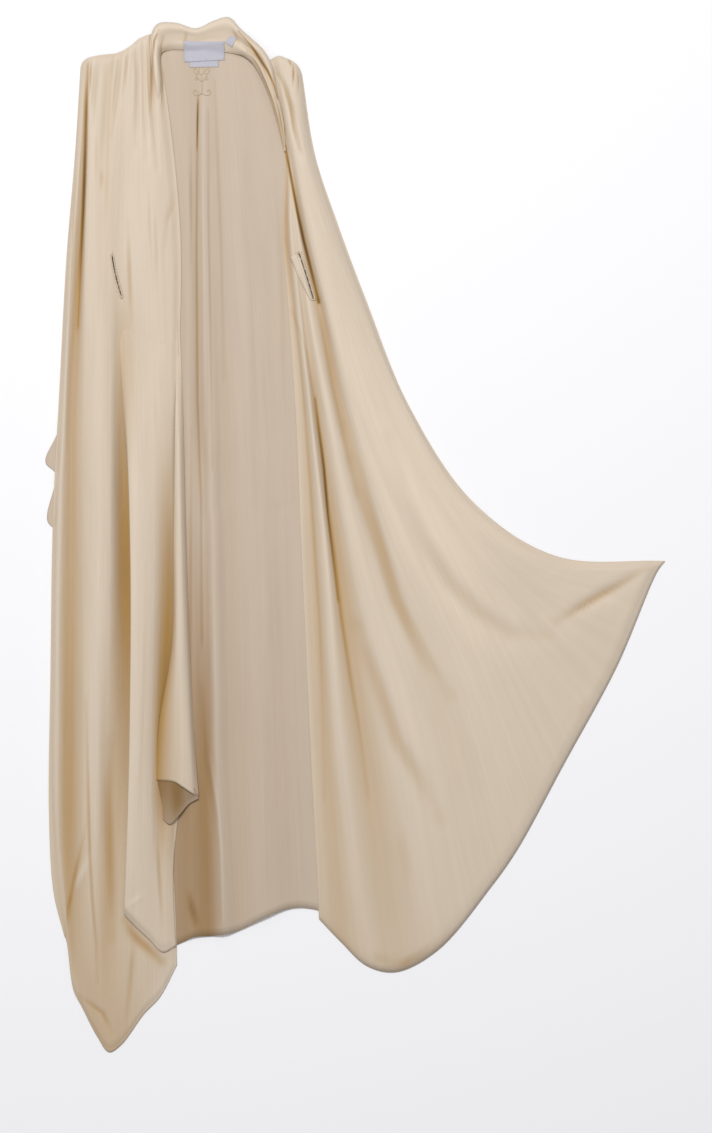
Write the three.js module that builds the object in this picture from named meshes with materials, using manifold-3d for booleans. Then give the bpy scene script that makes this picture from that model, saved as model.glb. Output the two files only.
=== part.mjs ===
// Cape kaftan in ivory satin, laid open on its back. Millimetres, +Z up, collar towards +Y.
// The back panel lies on the surface. The wearer's right front lies on it in long folds, and the
// wearer's left front is spread out to the corner of its wing.
import * as THREE from "three";
import Module from "manifold-3d";
import { mergeVertices } from "three/addons/utils/BufferGeometryUtils.js";

// Driving dimensions.
const WALL = 1.6; // satin with its hem and seam allowances
const SEAM_GAP = 0.3; // air between two sewn pieces
const LENGTH = 1650; // top of the collar to the tip of the longest fold
const LAYOUT_ROWS = 1031.25; // the same length in squares of the drafting grid
const SQUARE = LENGTH / LAYOUT_ROWS;
const CENTRE = { column: 355.75, row: 537 }; // the grid square over the origin
const LABEL_THICK = 1;
const LABEL_STEPS = 14; // squares along each side of a label
const LABEL_GAP = 0.5; // air under a label, which is stitched at its corners only
const SLIT_WIDTH = 3; // hand slits, as they lie nearly closed
const SLIT_CUT_HEIGHT = 60; // over the tallest fold
const BINDING_WIDTH = 3;
const BINDING_THICK = 1.4;
const BINDING_GAP = 0.4; // air under a binding, which bridges the small folds it lies on
const FRONT_FLOOR = WALL + SEAM_GAP; // top of the flat back panel, and the air over it
const LOWEST_FACE = FRONT_FLOOR + WALL + SEAM_GAP; // outer face of a front where it lies flattest
const SEAT_REACH = 4.5; // how far round a point a stiff piece must clear what it lies on
const LABEL_REACH = 3; // the same for a label, whose points are closer together
const TAB_REACH = 1.2;
const EMERGING = 0.3; // share of a folded layer's length over which it grows out of the cloth
const SUNK = 0.5; // how deep a layer starts in the wall that it grows out of
const CREASE_FADE = 0.08; // share of a crease at each end that keeps a steady, slight depth

// Tolerances: welding of a wall's points, and the smallest share of a triangle.
const WELD = 1e-4;
const SLIVER = 1e-6;

const wasm = await Module();
wasm.setup();

const satin = { color: 0xd8c8b4, roughness: 0.42, metalness: 0 };
const satinWrongSide = { color: 0xc3b5a4, roughness: 0.6, metalness: 0 };
const ribbon = { color: 0xdcdbe2, roughness: 0.7, metalness: 0 };

// Drafting grid square to millimetres.
const onGrid = (column, row, rise) =>
  new THREE.Vector3((column - CENTRE.column) * SQUARE, (CENTRE.row - row) * SQUARE, rise);

const curveThrough = (points) => new THREE.CatmullRomCurve3(points, false, "centripetal");

// Points of a curve, with the same number of steps between each two of its control points.
function sampled(points, steps) {
  const curve = curveThrough(points);
  const count = (points.length - 1) * steps;
  return Array.from({ length: count + 1 }, (_, i) => curve.getPoint(i / count));
}

// A row whose line runs nearly straight down gives only its top and hem rows: the rows between
// follow from the sheet's stations, as shares of the line's length.
function linePoints(line, stations) {
  const rows = line.rows ?? stations.map((share) => line.top + (line.hem - line.top) * share);
  return line.columns.map((column, i) => onGrid(column, rows[i], line.rise[i]));
}

// A sheet is a net of points: net[station along the lines][step across the lines].
function sheet(lines, { stations, along, across, creases = [] }) {
  const drawn = lines.map((line) => sampled(linePoints(line, stations), along));
  return drawn[0].map((_, station) => {
    const section = sampled(drawn.map((line) => line[station]), across);
    section.forEach((point) => (point.z += creaseRise(point, creases)));
    return section;
  });
}

// Soft troughs (negative depth) and ridges along short polylines, fading out at both ends.
function creaseRise(point, creases) {
  let rise = 0;
  for (const crease of creases) {
    const path = crease.columns.map((column, i) => onGrid(column, crease.rows[i], 0));
    const segments = path.length - 1;
    let nearest = Infinity;
    let share = 0;
    for (let i = 0; i < segments; i++) {
      const run = path[i + 1].clone().sub(path[i]);
      const reach = new THREE.Vector3(point.x, point.y, 0).sub(path[i]);
      const t = THREE.MathUtils.clamp(reach.dot(run) / run.lengthSq(), 0, 1);
      const distance = reach.addScaledVector(run, -t).length();
      if (distance < nearest) {
        nearest = distance;
        share = (i + t) / segments;
      }
    }
    const fade = Math.sin(Math.PI * THREE.MathUtils.clamp(share, CREASE_FADE, 1 - CREASE_FADE));
    rise += crease.depth * fade * Math.exp(-((nearest / crease.width) ** 2));
  }
  return rise;
}

function netNormals(net) {
  const last = net.length - 1;
  return net.map((section, j) =>
    section.map((_, i) => {
      const end = section.length - 1;
      const acrossStep = section[Math.min(i + 1, end)].clone().sub(section[Math.max(i - 1, 0)]);
      const alongStep = net[Math.min(j + 1, last)][i].clone().sub(net[Math.max(j - 1, 0)][i]);
      return alongStep.cross(acrossStep).normalize();
    }),
  );
}

// A closed wall: the net's own face, a second face under it, and the rim that joins them.
// A ring's last station meets its first one, so it has no rim there.
function wallBetween(top, under, isRing = false) {
  const width = top[0].length;
  const height = top.length;
  const positions = [...top.flat(), ...under.flat()].flatMap((point) => point.toArray());
  const topAt = (j, i) => (j % height) * width + i;
  const underAt = (j, i) => height * width + topAt(j, i);
  const triangles = [];
  const quad = (a, b, c, d) => triangles.push(a, b, c, a, c, d);
  const bays = isRing ? height : height - 1;
  for (let j = 0; j < bays; j++) {
    for (let i = 0; i < width - 1; i++) {
      quad(topAt(j, i), topAt(j + 1, i), topAt(j + 1, i + 1), topAt(j, i + 1));
      quad(underAt(j, i), underAt(j, i + 1), underAt(j + 1, i + 1), underAt(j + 1, i));
    }
    quad(topAt(j, 0), underAt(j, 0), underAt(j + 1, 0), topAt(j + 1, 0));
    quad(topAt(j, width - 1), topAt(j + 1, width - 1), underAt(j + 1, width - 1), underAt(j, width - 1));
  }
  for (let i = 0; i < width - 1 && !isRing; i++) {
    const j = height - 1;
    quad(topAt(0, i), topAt(0, i + 1), underAt(0, i + 1), underAt(0, i));
    quad(topAt(j, i), underAt(j, i), underAt(j, i + 1), topAt(j, i + 1));
  }
  const geometry = new THREE.BufferGeometry();
  geometry.setAttribute("position", new THREE.Float32BufferAttribute(positions, 3));
  geometry.setIndex(triangles);
  return geometry;
}

// Cloth whose second face lies squarely under the first, never lower than `lowest`.
function clothWall(net, lowest, thickness = WALL) {
  const normals = netNormals(net);
  const under = net.map((section, j) =>
    section.map((point, i) => {
      const inner = point.clone().addScaledVector(normals[j][i], -thickness);
      inner.z = Math.max(inner.z, lowest);
      return inner;
    }),
  );
  return wallBetween(net, under);
}

// Cloth whose second face lies straight under the first, so that it stays a level face.
function levelWall(net, thickness = WALL, isRing = false) {
  const under = net.map((section) =>
    section.map((point) => new THREE.Vector3(point.x, point.y, point.z - thickness)),
  );
  return wallBetween(net, under, isRing);
}

function toSolid(geometry) {
  const merged = mergeVertices(geometry, WELD);
  return new wasm.Manifold(
    new wasm.Mesh({
      numProp: 3,
      vertProperties: Float32Array.from(merged.attributes.position.array),
      triVerts: Uint32Array.from(merged.index.array),
    }),
  );
}

function toGeometry(solid) {
  const mesh = solid.getMesh();
  const geometry = new THREE.BufferGeometry();
  geometry.setAttribute("position", new THREE.BufferAttribute(mesh.vertProperties, 3));
  geometry.setIndex(new THREE.BufferAttribute(mesh.triVerts, 1));
  return geometry;
}

// Height of the highest of some sheets over one place of the plan.
function heightOver(nets, x, y) {
  let highest = -Infinity;
  for (const net of nets) {
    for (let j = 0; j < net.length - 1; j++) {
      for (let i = 0; i < net[j].length - 1; i++) {
        const corners = [net[j][i], net[j + 1][i], net[j + 1][i + 1], net[j][i + 1]];
        for (const [a, b, c] of [corners.slice(0, 3), [corners[0], corners[2], corners[3]]]) {
          const area = (b.x - a.x) * (c.y - a.y) - (c.x - a.x) * (b.y - a.y);
          if (Math.abs(area) < SLIVER) continue;
          const u = ((b.x - x) * (c.y - y) - (c.x - x) * (b.y - y)) / area;
          const v = ((c.x - x) * (a.y - y) - (a.x - x) * (c.y - y)) / area;
          const w = 1 - u - v;
          if (Math.min(u, v, w) < -SLIVER) continue;
          highest = Math.max(highest, u * a.z + v * b.z + w * c.z);
        }
      }
    }
  }
  return highest;
}

// The highest point of some sheets within a short reach, so that a stiff piece clears them.
function heightNear(nets, x, y, reach) {
  const steps = [-1, -0.5, 0, 0.5, 1].map((share) => share * reach);
  return Math.max(...steps.flatMap((dx) => steps.map((dy) => heightOver(nets, x + dx, y + dy))));
}

// Lifts a sheet wherever it would touch the sheets it lies on.
function seatOn(net, nets, thickness, gap = SEAM_GAP, reach = SEAT_REACH) {
  net.flat().forEach((point) => {
    const seat = heightNear(nets, point.x, point.y, reach) + gap + thickness;
    point.z = Math.max(point.z, seat);
  });
  return net;
}

// Lets a folded layer grow out of the sheets under it over the first share of its length.
function emerging(net, under) {
  const grown = Math.round(net.length * EMERGING);
  net.slice(0, grown).forEach((section, j) => {
    const share = THREE.MathUtils.smoothstep(j / grown, 0, 1);
    section.forEach((point) => {
      const seat = Math.max(heightOver(under, point.x, point.y) - SUNK, LOWEST_FACE);
      point.z = THREE.MathUtils.lerp(seat, point.z, share);
    });
  });
  return net;
}

// A flat four-cornered label, its corners given from top left clockwise.
function labelNet({ columns, rows }, nets, gap = LABEL_GAP, reach = LABEL_REACH) {
  const [topLeft, topRight, bottomRight, bottomLeft] = columns.map((c, i) => onGrid(c, rows[i], 0));
  const shares = Array.from({ length: LABEL_STEPS + 1 }, (_, i) => i / LABEL_STEPS);
  const net = shares.map((down) => {
    const left = topLeft.clone().lerp(bottomLeft, down);
    const right = topRight.clone().lerp(bottomRight, down);
    return shares.map((over) => left.clone().lerp(right, over));
  });
  return seatOn(net, nets, LABEL_THICK, gap, reach);
}

// Points round a slit at one distance from its middle line, down its left side and up its right.
function slitOutline(slit, distance) {
  const path = sampled(slit.columns.map((column, i) => onGrid(column, slit.rows[i], 0)), 3);
  const sides = path.map((_, i) => {
    const before = path[Math.max(i - 1, 0)];
    const after = path[Math.min(i + 1, path.length - 1)];
    const run = after.clone().sub(before).normalize();
    return { run, side: new THREE.Vector3(run.y, -run.x, 0) };
  });
  const left = path.map((point, i) => point.clone().addScaledVector(sides[i].side, -distance));
  const right = path.map((point, i) => point.clone().addScaledVector(sides[i].side, distance));
  const head = path[0].clone().addScaledVector(sides[0].run, -distance);
  const foot = path.at(-1).clone().addScaledVector(sides.at(-1).run, distance);
  return [head, ...left, foot, ...right.reverse()];
}

// The tool that opens a slit through one layer of cloth, from just over the back panel up.
function slitCutter(slit) {
  const outline = slitOutline(slit, SLIT_WIDTH / 2);
  const shape = new THREE.Shape(outline.map((point) => new THREE.Vector2(point.x, point.y)));
  const cutter = new THREE.ExtrudeGeometry(shape, { depth: SLIT_CUT_HEIGHT, bevelEnabled: false });
  cutter.deleteAttribute("normal");
  cutter.deleteAttribute("uv");
  return toSolid(cutter.translate(0, 0, WALL));
}

// The binding round a slit, made from the front's own points and moved out.
function slitBinding(slit, front) {
  const distances = [SLIT_WIDTH / 2, (SLIT_WIDTH + BINDING_WIDTH) / 2, SLIT_WIDTH / 2 + BINDING_WIDTH];
  const loops = distances.map((distance) => slitOutline(slit, distance));
  const net = loops[0].map((_, station) => loops.map((loop) => loop[station]));
  return levelWall(seatOn(net, [front], BINDING_THICK, BINDING_GAP), BINDING_THICK, true);
}

// Back panel. Lines run down from the shoulder and neck seam to the hem, left to right. Rise is
// the height of each soft ridge over the flat. The left edge shows past the side fold in two bumps.
const FLAT = [0, 0, 0, 0, 0, 0, 0, 0, 0];
const BACK_STATIONS = [0, 0.2, 0.4, 0.445, 0.465, 0.51, 0.545, 0.8, 1];
const BACK_LINES = [
  { line: "left edge", columns: [87, 72, 60, 46, 54, 48, 57, 57, 76], top: 76, hem: 930, rise: FLAT },
  { line: "left side", columns: [100, 86, 76, 75, 75, 75, 75, 74, 92], top: 62, hem: 955, rise: FLAT },
  {
    line: "under folds", columns: [140, 140, 140, 140, 140, 140, 140, 140, 148], top: 50, hem: 956,
    rise: FLAT,
  },
  {
    line: "beside folds", columns: [164, 178, 180, 180, 180, 180, 180, 180, 181], top: 48, hem: 943,
    rise: FLAT,
  },
  {
    line: "first ridge", columns: [184, 188, 189, 190, 190, 191, 191, 192, 194], top: 48, hem: 937,
    rise: [0, 2.5, 3, 3, 3, 3, 3, 3, 3],
  },
  {
    line: "centre valley", columns: [196, 197, 200, 201, 202, 202, 203, 207, 210], top: 49, hem: 936,
    rise: [0, 0, 0, 0, 0, 0, 0, 0, 1],
  },
  {
    line: "centre ridge", columns: [204, 207, 211, 211, 211, 212, 213, 217, 225], top: 50, hem: 934,
    rise: [1, 3, 5, 6, 6, 7, 8, 7, 6],
  },
  {
    line: "centre foot", columns: [213, 217, 222, 223, 223, 224, 225, 230, 238], top: 51, hem: 931,
    rise: [0, 0, 0, 0, 0, 1, 1, 0, 1],
  },
  {
    line: "broad swell", columns: [226, 239, 250, 252, 253, 254, 255, 260, 264], top: 51, hem: 918,
    rise: [0, 3, 4, 4, 4, 4, 4, 4, 5],
  },
  {
    line: "right valley", columns: [238, 261, 274, 276, 277, 278, 279, 285, 292], top: 53, hem: 908,
    rise: [0, 0, 1, 1, 1, 1, 0, 1, 2],
  },
  {
    line: "under front edge", columns: [250, 282, 298, 300, 301, 303, 304, 311, 317], top: 56, hem: 910,
    rise: FLAT,
  },
  {
    line: "under slit", columns: [268, 302, 326, 332, 334, 340, 344, 366, 384], top: 62, hem: 936,
    rise: FLAT,
  },
  {
    line: "under groove", columns: [280, 318, 362, 376, 382, 396, 407, 452, 492],
    rows: [72, 258, 420, 458, 474, 508, 538, 740, 868], rise: FLAT,
  },
  {
    line: "wing", columns: [291, 326, 383, 398, 405, 422, 438, 514, 580],
    rows: [80, 252, 406, 440, 455, 488, 514, 640, 716], rise: FLAT,
  },
  {
    line: "outer edge", columns: [299, 334, 394, 412, 421, 445, 468, 556, 640],
    rows: [98, 236, 396, 428, 442, 474, 500, 568, 582], rise: FLAT,
  },
];

// Right front, lowest layer: from the side fold across to the front edge, and under the two
// folded layers to the edge that shows below them.
const FRONT_STATIONS = [0, 0.1, 0.22, 0.36, 0.52, 0.7, 0.86, 0.95, 1];
const RIGHT_FRONT_LINES = [
  {
    line: "side fold", columns: [82, 75, 66.5, 60, 53, 50.5, 49, 53.5, 64], top: 73, hem: 935,
    rise: [6, 4, 3.8, 3.8, 3.8, 3.8, 3.8, 3.8, 3.8],
  },
  {
    line: "side strip", columns: [85, 78.5, 71, 65.5, 58.5, 56, 55.5, 62.5, 66.5], top: 70, hem: 941,
    rise: [9, 11, 13, 14, 14, 14, 10, 6, 4.5],
  },
  {
    line: "side groove", columns: [87.5, 85.5, 80.5, 73, 72, 70, 69.5, 71.5, 73.5], top: 66, hem: 990,
    rise: [10, 7, 6, 7, 7, 7, 6, 5, 4.5],
  },
  {
    line: "groove crest", columns: [91.5, 89.5, 86.5, 86, 87, 87.5, 83, 80.5, 82], top: 60, hem: 1007,
    rise: [13, 16, 17, 17, 18, 18, 14, 9, 4.5],
  },
  {
    line: "broad plane", columns: [103, 101, 100, 99, 100, 98, 95, 95, 97], top: 55, hem: 1036,
    rise: [15, 18, 21, 24, 24, 20, 15, 10, 4.5],
  },
  {
    line: "plane's far side", columns: [118, 114, 111, 110, 110, 107, 107, 108, 109], top: 50,
    hem: 1052, rise: [16, 18, 20, 20, 20, 15, 11, 8, 4.5],
  },
  {
    line: "long trough", columns: [130, 125, 121, 121, 124, 126, 122, 120.5, 121], top: 44, hem: 1045,
    rise: [16, 17, 16, 8, 5, 6, 9, 8, 4.5],
  },
  {
    line: "under middle layer", columns: [139, 137, 138, 141, 145, 146, 144, 144, 144], top: 39,
    hem: 1014, rise: [15, 16, 17, 12, 8, 7, 8, 8, 4.5],
  },
  {
    line: "chest swell", columns: [148, 150, 156, 161, 162, 160, 160, 160, 160], top: 35, hem: 997,
    rise: [13, 14, 15, 12, 8, 7, 7, 7, 4.5],
  },
  {
    line: "front edge", columns: [157, 174.5, 181, 179.5, 178, 172, 172, 176, 177], top: 33, hem: 965,
    rise: [10, 7, 5, 5, 5, 3.8, 3.8, 4.2, 3.8],
  },
];
const SHOULDER_GATHERS = [
  { crease: "by the side fold", columns: [97, 95, 92], rows: [58, 90, 128], depth: -3, width: 4 },
  { crease: "shoulder, broad", columns: [110, 108, 103], rows: [54, 100, 190], depth: -3, width: 7 },
  { crease: "shoulder, first", columns: [121, 117.5, 111], rows: [50, 86, 138], depth: -3, width: 4 },
  {
    crease: "shoulder, second", columns: [136, 138.5, 136.5], rows: [42, 82, 150], depth: -3.5,
    width: 4,
  },
  {
    crease: "beside the collar", columns: [143.5, 144, 145, 148], rows: [38, 70, 112, 160], depth: -3.5,
    width: 4,
  },
  {
    crease: "under the collar", columns: [151, 152, 153, 158], rows: [34, 70, 110, 170], depth: -4,
    width: 4,
  },
];
const LAYER_STATIONS = [0, 0.2, 0.45, 0.7, 0.88, 1];
const MIDDLE_LAYER_LINES = [
  {
    line: "tucked edge", columns: [117, 124.5, 134.5, 133.5, 130.5, 127.5], top: 296, hem: 914,
    rise: [13, 15, 16, 15, 12, 10],
  },
  {
    line: "left crest", columns: [122, 127.5, 131.5, 130.5, 127.5, 124.5], top: 296, hem: 914,
    rise: [15, 21, 30, 28, 22, 16],
  },
  {
    line: "plane", columns: [135, 140, 143, 142, 140, 136], top: 296, hem: 927,
    rise: [16, 24, 31, 28, 22, 16],
  },
  {
    line: "plane's far side", columns: [149, 153, 154, 151, 151, 149], top: 296, hem: 939,
    rise: [15, 22, 25, 21, 17, 14],
  },
  {
    line: "trough", columns: [163, 169, 169, 162, 162, 163], top: 298, hem: 952,
    rise: [13, 16, 11, 10, 11, 11],
  },
  {
    line: "under inner layer", columns: [177.5, 180.5, 185, 185, 173.5, 176], top: 300, hem: 946,
    rise: [6, 9, 9, 9, 9, 8],
  },
];
const INNER_LAYER_LINES = [
  {
    line: "left edge", columns: [177.5, 175.5, 174.3, 172, 158.5, 155], top: 330, hem: 780,
    rise: [6, 15, 20, 17, 14, 13],
  },
  {
    line: "crest", columns: [178.2, 177.8, 178, 177.5, 176, 174], top: 330, hem: 781,
    rise: [6, 17, 25, 27, 25, 22],
  },
  {
    line: "plane", columns: [178.8, 180, 181.5, 183, 184, 183], top: 330, hem: 786,
    rise: [6, 16, 25, 28, 27, 25],
  },
  {
    line: "far side", columns: [179.4, 181.8, 184.3, 187.5, 190.5, 192], top: 330, hem: 792,
    rise: [5.5, 12, 18, 22, 22, 21],
  },
  {
    line: "front edge", columns: [180, 183.4, 186.5, 190.7, 195, 199], top: 330, hem: 796,
    rise: [5, 6.5, 8, 9, 10, 12],
  },
];

// The wrong side of the inner layer, which shows as a dark triangle where its hem turns back.
const TURNED_HEM_LINES = [
  {
    line: "left side", columns: [157, 160.5, 163, 163.5], rows: [778, 793, 806, 819],
    rise: [12, 12.5, 13, 12.5],
  },
  {
    line: "left fold", columns: [168, 168.5, 169, 170], rows: [777, 796, 811, 824],
    rise: [18, 16, 14, 12.5],
  },
  {
    line: "middle crease", columns: [178, 178.5, 179, 179.5], rows: [779, 794, 806, 815],
    rise: [22, 16, 12, 10],
  },
  {
    line: "right fold", columns: [187, 188, 188.8, 189], rows: [784, 793, 799, 804],
    rise: [22, 17, 12, 9],
  },
  {
    line: "right side", columns: [195, 197, 198.3, 199], rows: [788, 793, 796, 798],
    rise: [17, 14, 11, 9],
  },
];

// Left front, spread out as a wing. Its lines fan out from the shoulder to the hem.
const LEFT_FRONT_LINES = [
  {
    line: "front edge", columns: [258, 281, 282, 288, 296, 302, 309, 319],
    rows: [70, 152, 230, 310, 420, 560, 720, 919], rise: [8, 6, 4.5, 4, 3.8, 3.8, 3.8, 4.6],
  },
  {
    line: "edge groove", columns: [262, 282.7, 285.5, 292.5, 305.5, 315, 324.5, 341],
    rows: [66, 153, 230, 310, 420, 560, 722, 942], rise: [9, 8, 7, 6, 6, 6, 6, 5],
  },
  {
    line: "second crest", columns: [265, 284.3, 291, 299.5, 311.5, 327, 338, 367],
    rows: [63, 153, 231, 310, 418, 562, 724, 966], rise: [11, 10, 12, 13, 15, 16, 13, 7],
  },
  {
    line: "second groove", columns: [268, 286, 295, 304, 318, 335.5, 357.5, 396],
    rows: [61, 154, 231, 311, 420, 562, 728, 972], rise: [12, 10, 11, 10, 6, 6, 8, 6],
  },
  {
    line: "slit plane", columns: [271, 287.5, 298.5, 310, 330, 358, 395, 438],
    rows: [59, 154, 231, 311, 420, 560, 712, 950], rise: [12, 10, 13, 15, 17, 16, 14, 7],
  },
  {
    line: "main groove", columns: [274, 289.3, 302.5, 320.5, 343, 380, 440, 491],
    rows: [58, 152, 231, 310, 415, 552, 690, 887], rise: [13, 10, 7, 8, 10, 12, 12, 7],
  },
  {
    line: "arm crest", columns: [279, 293, 308, 327, 353, 398, 458, 517],
    rows: [56, 150, 226, 305, 410, 536, 664, 850], rise: [16, 16, 18, 19, 18, 17, 15, 7],
  },
  {
    line: "arm", columns: [285, 299.5, 318, 343, 378, 428, 488, 565],
    rows: [58, 140, 212, 285, 380, 496, 612, 762], rise: [17, 19, 20, 19, 17, 15, 13, 7],
  },
  {
    line: "upper arm", columns: [292, 304.5, 324, 351, 390.5, 447, 519, 617],
    rows: [61, 145, 215, 290, 390, 499, 586, 666], rise: [17, 18, 18, 17, 15, 14, 12, 7],
  },
  {
    line: "wing fold side", columns: [298, 309.5, 330, 359.5, 403, 466, 550, 657],
    rows: [66, 150, 218, 296, 401, 502, 562, 572], rise: [13, 13, 13, 12, 11, 10, 9, 6.5],
  },
  {
    line: "outer edge", columns: [302, 315, 337, 366, 409, 474, 556, 665],
    rows: [74, 155, 222, 300, 406, 503, 556, 561], rise: [4.5, 3.8, 3.8, 3.8, 3.8, 3.8, 3.8, 3.8],
  },
];
const LEFT_FRONT_CREASES = [
  {
    crease: "hip trough", columns: [391, 405, 420, 447, 466, 488], rows: [460, 500, 541, 580, 600, 621],
    depth: -4, width: 11,
  },
  {
    crease: "thigh trough", columns: [349, 363, 378, 396, 426, 452],
    rows: [460, 500, 542, 602, 660, 698], depth: -3, width: 9,
  },
  {
    crease: "corner trough", columns: [558, 576, 595, 622, 650], rows: [622, 610, 599, 584, 565],
    depth: -3, width: 8,
  },
  {
    crease: "hem trough", columns: [358, 371, 385, 398, 420, 441], rows: [625, 662, 702, 742, 781, 822],
    depth: -4, width: 11,
  },
  {
    crease: "shoulder gather", columns: [277, 286, 292, 295, 301], rows: [70, 90, 110, 130, 156],
    depth: -4, width: 4,
  },
];

// Collar band, followed from the end of its right leg round the back neck to the end of its
// left leg. It is rolled: an outer ridge and an inner one with a pocket between them. Both legs
// taper into the front edges.
const COLLAR_LINES = [
  {
    line: "seam",
    columns: [163, 162.5, 161, 169, 182, 197, 213, 225, 234, 241.5, 250, 258.5, 266.5, 273.5, 282.2],
    rows: [122, 84, 51, 47, 46, 47, 48, 50, 51, 54, 64, 78, 99, 124, 164],
    rise: [15, 16, 14, 7, 5.5, 5.5, 5.5, 6, 7, 10, 14, 15, 15, 13.5, 10],
  },
  {
    line: "inner ridge",
    columns: [162, 160.5, 158.5, 167, 181, 197, 214, 226, 236, 244.5, 253, 261, 269, 275.5, 282.8],
    rows: [122, 84, 48, 44, 42, 43, 41, 41, 46, 51, 62, 76, 97, 123, 164],
    rise: [15.5, 18.5, 18, 10, 8, 7.5, 8, 9, 12, 18, 20, 20, 19, 15, 10.2],
  },
  {
    line: "pocket",
    columns: [161, 158.5, 156, 165, 180, 197, 214, 227, 238, 246.5, 255.5, 264, 271, 277, 283.4],
    rows: [122, 84, 45, 38, 36, 38, 34, 33, 41, 48, 59, 73, 95, 122, 164],
    rise: [15.5, 18, 18, 13, 9, 8, 10, 12, 14, 15, 16, 18, 18, 15, 10.2],
  },
  {
    line: "outer ridge",
    columns: [160, 156.5, 153.5, 162, 179, 197, 214, 228, 239, 249, 258.5, 267, 273, 278.5, 284],
    rows: [122, 84, 41, 30, 28, 31, 25, 23, 34, 45, 55, 69, 92, 121, 164],
    rise: [15.5, 19, 21, 17, 13, 11, 14, 17, 20, 22, 22, 22, 21, 15.5, 10.2],
  },
  {
    line: "outer edge",
    columns: [159, 154, 151, 159, 178, 197, 214, 229, 240, 251, 262, 270, 275, 280, 284.5],
    rows: [122, 84, 38, 25, 24, 28, 21, 18, 30, 41, 51, 66, 90, 120, 164],
    rise: [15, 17, 18, 14, 11, 9, 11, 14, 17, 19, 19, 19, 18, 14.5, 10],
  },
];

const RIGHT_SLIT = { columns: [113, 115, 118, 122], rows: [258, 270, 283, 297] };
const LEFT_SLIT = { columns: [294.5, 302, 307, 313], rows: [257, 271, 284, 298] };

// Labels, from top left clockwise.
const CARE_LABEL = { columns: [188, 218, 218.8, 189], rows: [53, 53, 67, 67.4] };
const NECK_LABEL = { columns: [184.4, 224.2, 225.3, 185], rows: [43, 43, 60, 62.8] };
const SIZE_TAB = { columns: [225, 230.5, 236.5, 232], rows: [43, 36.5, 39.5, 48] };

const backNet = sheet(BACK_LINES, {
  stations: BACK_STATIONS,
  along: 2,
  across: 2,
});
backNet.flat().forEach((point) => (point.z = Math.max(point.z, 0) + WALL));

const lowerNet = sheet(RIGHT_FRONT_LINES, {
  stations: FRONT_STATIONS,
  along: 3,
  across: 4,
  creases: SHOULDER_GATHERS,
});
const middleNet = emerging(
  sheet(MIDDLE_LAYER_LINES, { stations: LAYER_STATIONS, along: 4, across: 3 }),
  [lowerNet],
);
const innerNet = emerging(
  sheet(INNER_LAYER_LINES, { stations: LAYER_STATIONS, along: 4, across: 3 }),
  [lowerNet, middleNet],
);
const turnedHemNet = sheet(TURNED_HEM_LINES, { stations: [], along: 2, across: 2 });
const leftNet = sheet(LEFT_FRONT_LINES, {
  stations: [],
  along: 4,
  across: 3,
  creases: LEFT_FRONT_CREASES,
});
const collarNet = seatOn(
  sheet(COLLAR_LINES, { stations: [], along: 2, across: 2 }),
  [backNet, lowerNet, leftNet],
  WALL,
);
const careNet = labelNet(CARE_LABEL, [backNet, collarNet]);
const neckLabelNet = labelNet(NECK_LABEL, [backNet, collarNet, careNet]);
const sizeTabNet = labelNet(SIZE_TAB, [collarNet], SEAM_GAP, TAB_REACH);

const rightFront = [lowerNet, middleNet, innerNet, turnedHemNet]
  .map((net) => toSolid(clothWall(net, FRONT_FLOOR)))
  .reduce((all, layer) => all.add(layer))
  .subtract(slitCutter(RIGHT_SLIT));
const leftFront = toSolid(clothWall(leftNet, FRONT_FLOOR)).subtract(slitCutter(LEFT_SLIT));

const group = new THREE.Group();

function addPiece(name, geometry, finish) {
  const piece = new THREE.Mesh(geometry, new THREE.MeshStandardMaterial(finish));
  piece.name = name;
  group.add(piece);
}

addPiece("back_panel", levelWall(backNet), satinWrongSide);
addPiece("right_front", toGeometry(rightFront), satin);
addPiece("left_front", toGeometry(leftFront), satin);
addPiece("collar_band", clothWall(collarNet, FRONT_FLOOR), satin);
addPiece("right_slit_binding", slitBinding(RIGHT_SLIT, lowerNet), satin);
addPiece("left_slit_binding", slitBinding(LEFT_SLIT, leftNet), satin);
addPiece("care_label", levelWall(careNet, LABEL_THICK), ribbon);
addPiece("neck_label", levelWall(neckLabelNet, LABEL_THICK), ribbon);
addPiece("size_tab", levelWall(sizeTabNet, LABEL_THICK), ribbon);

export default group;
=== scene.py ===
"""Cape kaftan in ivory satin, laid open on its back: the visible cloth, thread and labels.

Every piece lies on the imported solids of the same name. Metres, +Z up, collar towards +Y. The
tables give places in squares of the drafting grid, and heights over the floor in millimetres.
"""

import math
from functools import lru_cache

import bmesh
import bpy
import numpy as np
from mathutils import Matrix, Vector
from mathutils.bvhtree import BVHTree


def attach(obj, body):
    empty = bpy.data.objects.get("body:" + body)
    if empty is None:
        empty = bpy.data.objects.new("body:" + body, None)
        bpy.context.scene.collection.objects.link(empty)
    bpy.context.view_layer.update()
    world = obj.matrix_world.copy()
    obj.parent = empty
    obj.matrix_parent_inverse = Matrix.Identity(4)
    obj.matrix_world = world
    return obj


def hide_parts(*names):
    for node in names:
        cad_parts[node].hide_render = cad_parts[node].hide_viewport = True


bl_info = {
    "name": "Cape Kaftan",
    "version": (1, 0, 0),
    "blender": (4, 5, 0),
    "location": "3D View > Sidebar > Kaftan",
    "description": "Builds a satin cape kaftan laid open, piece by piece",
    "category": "Add Mesh",
}

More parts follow.
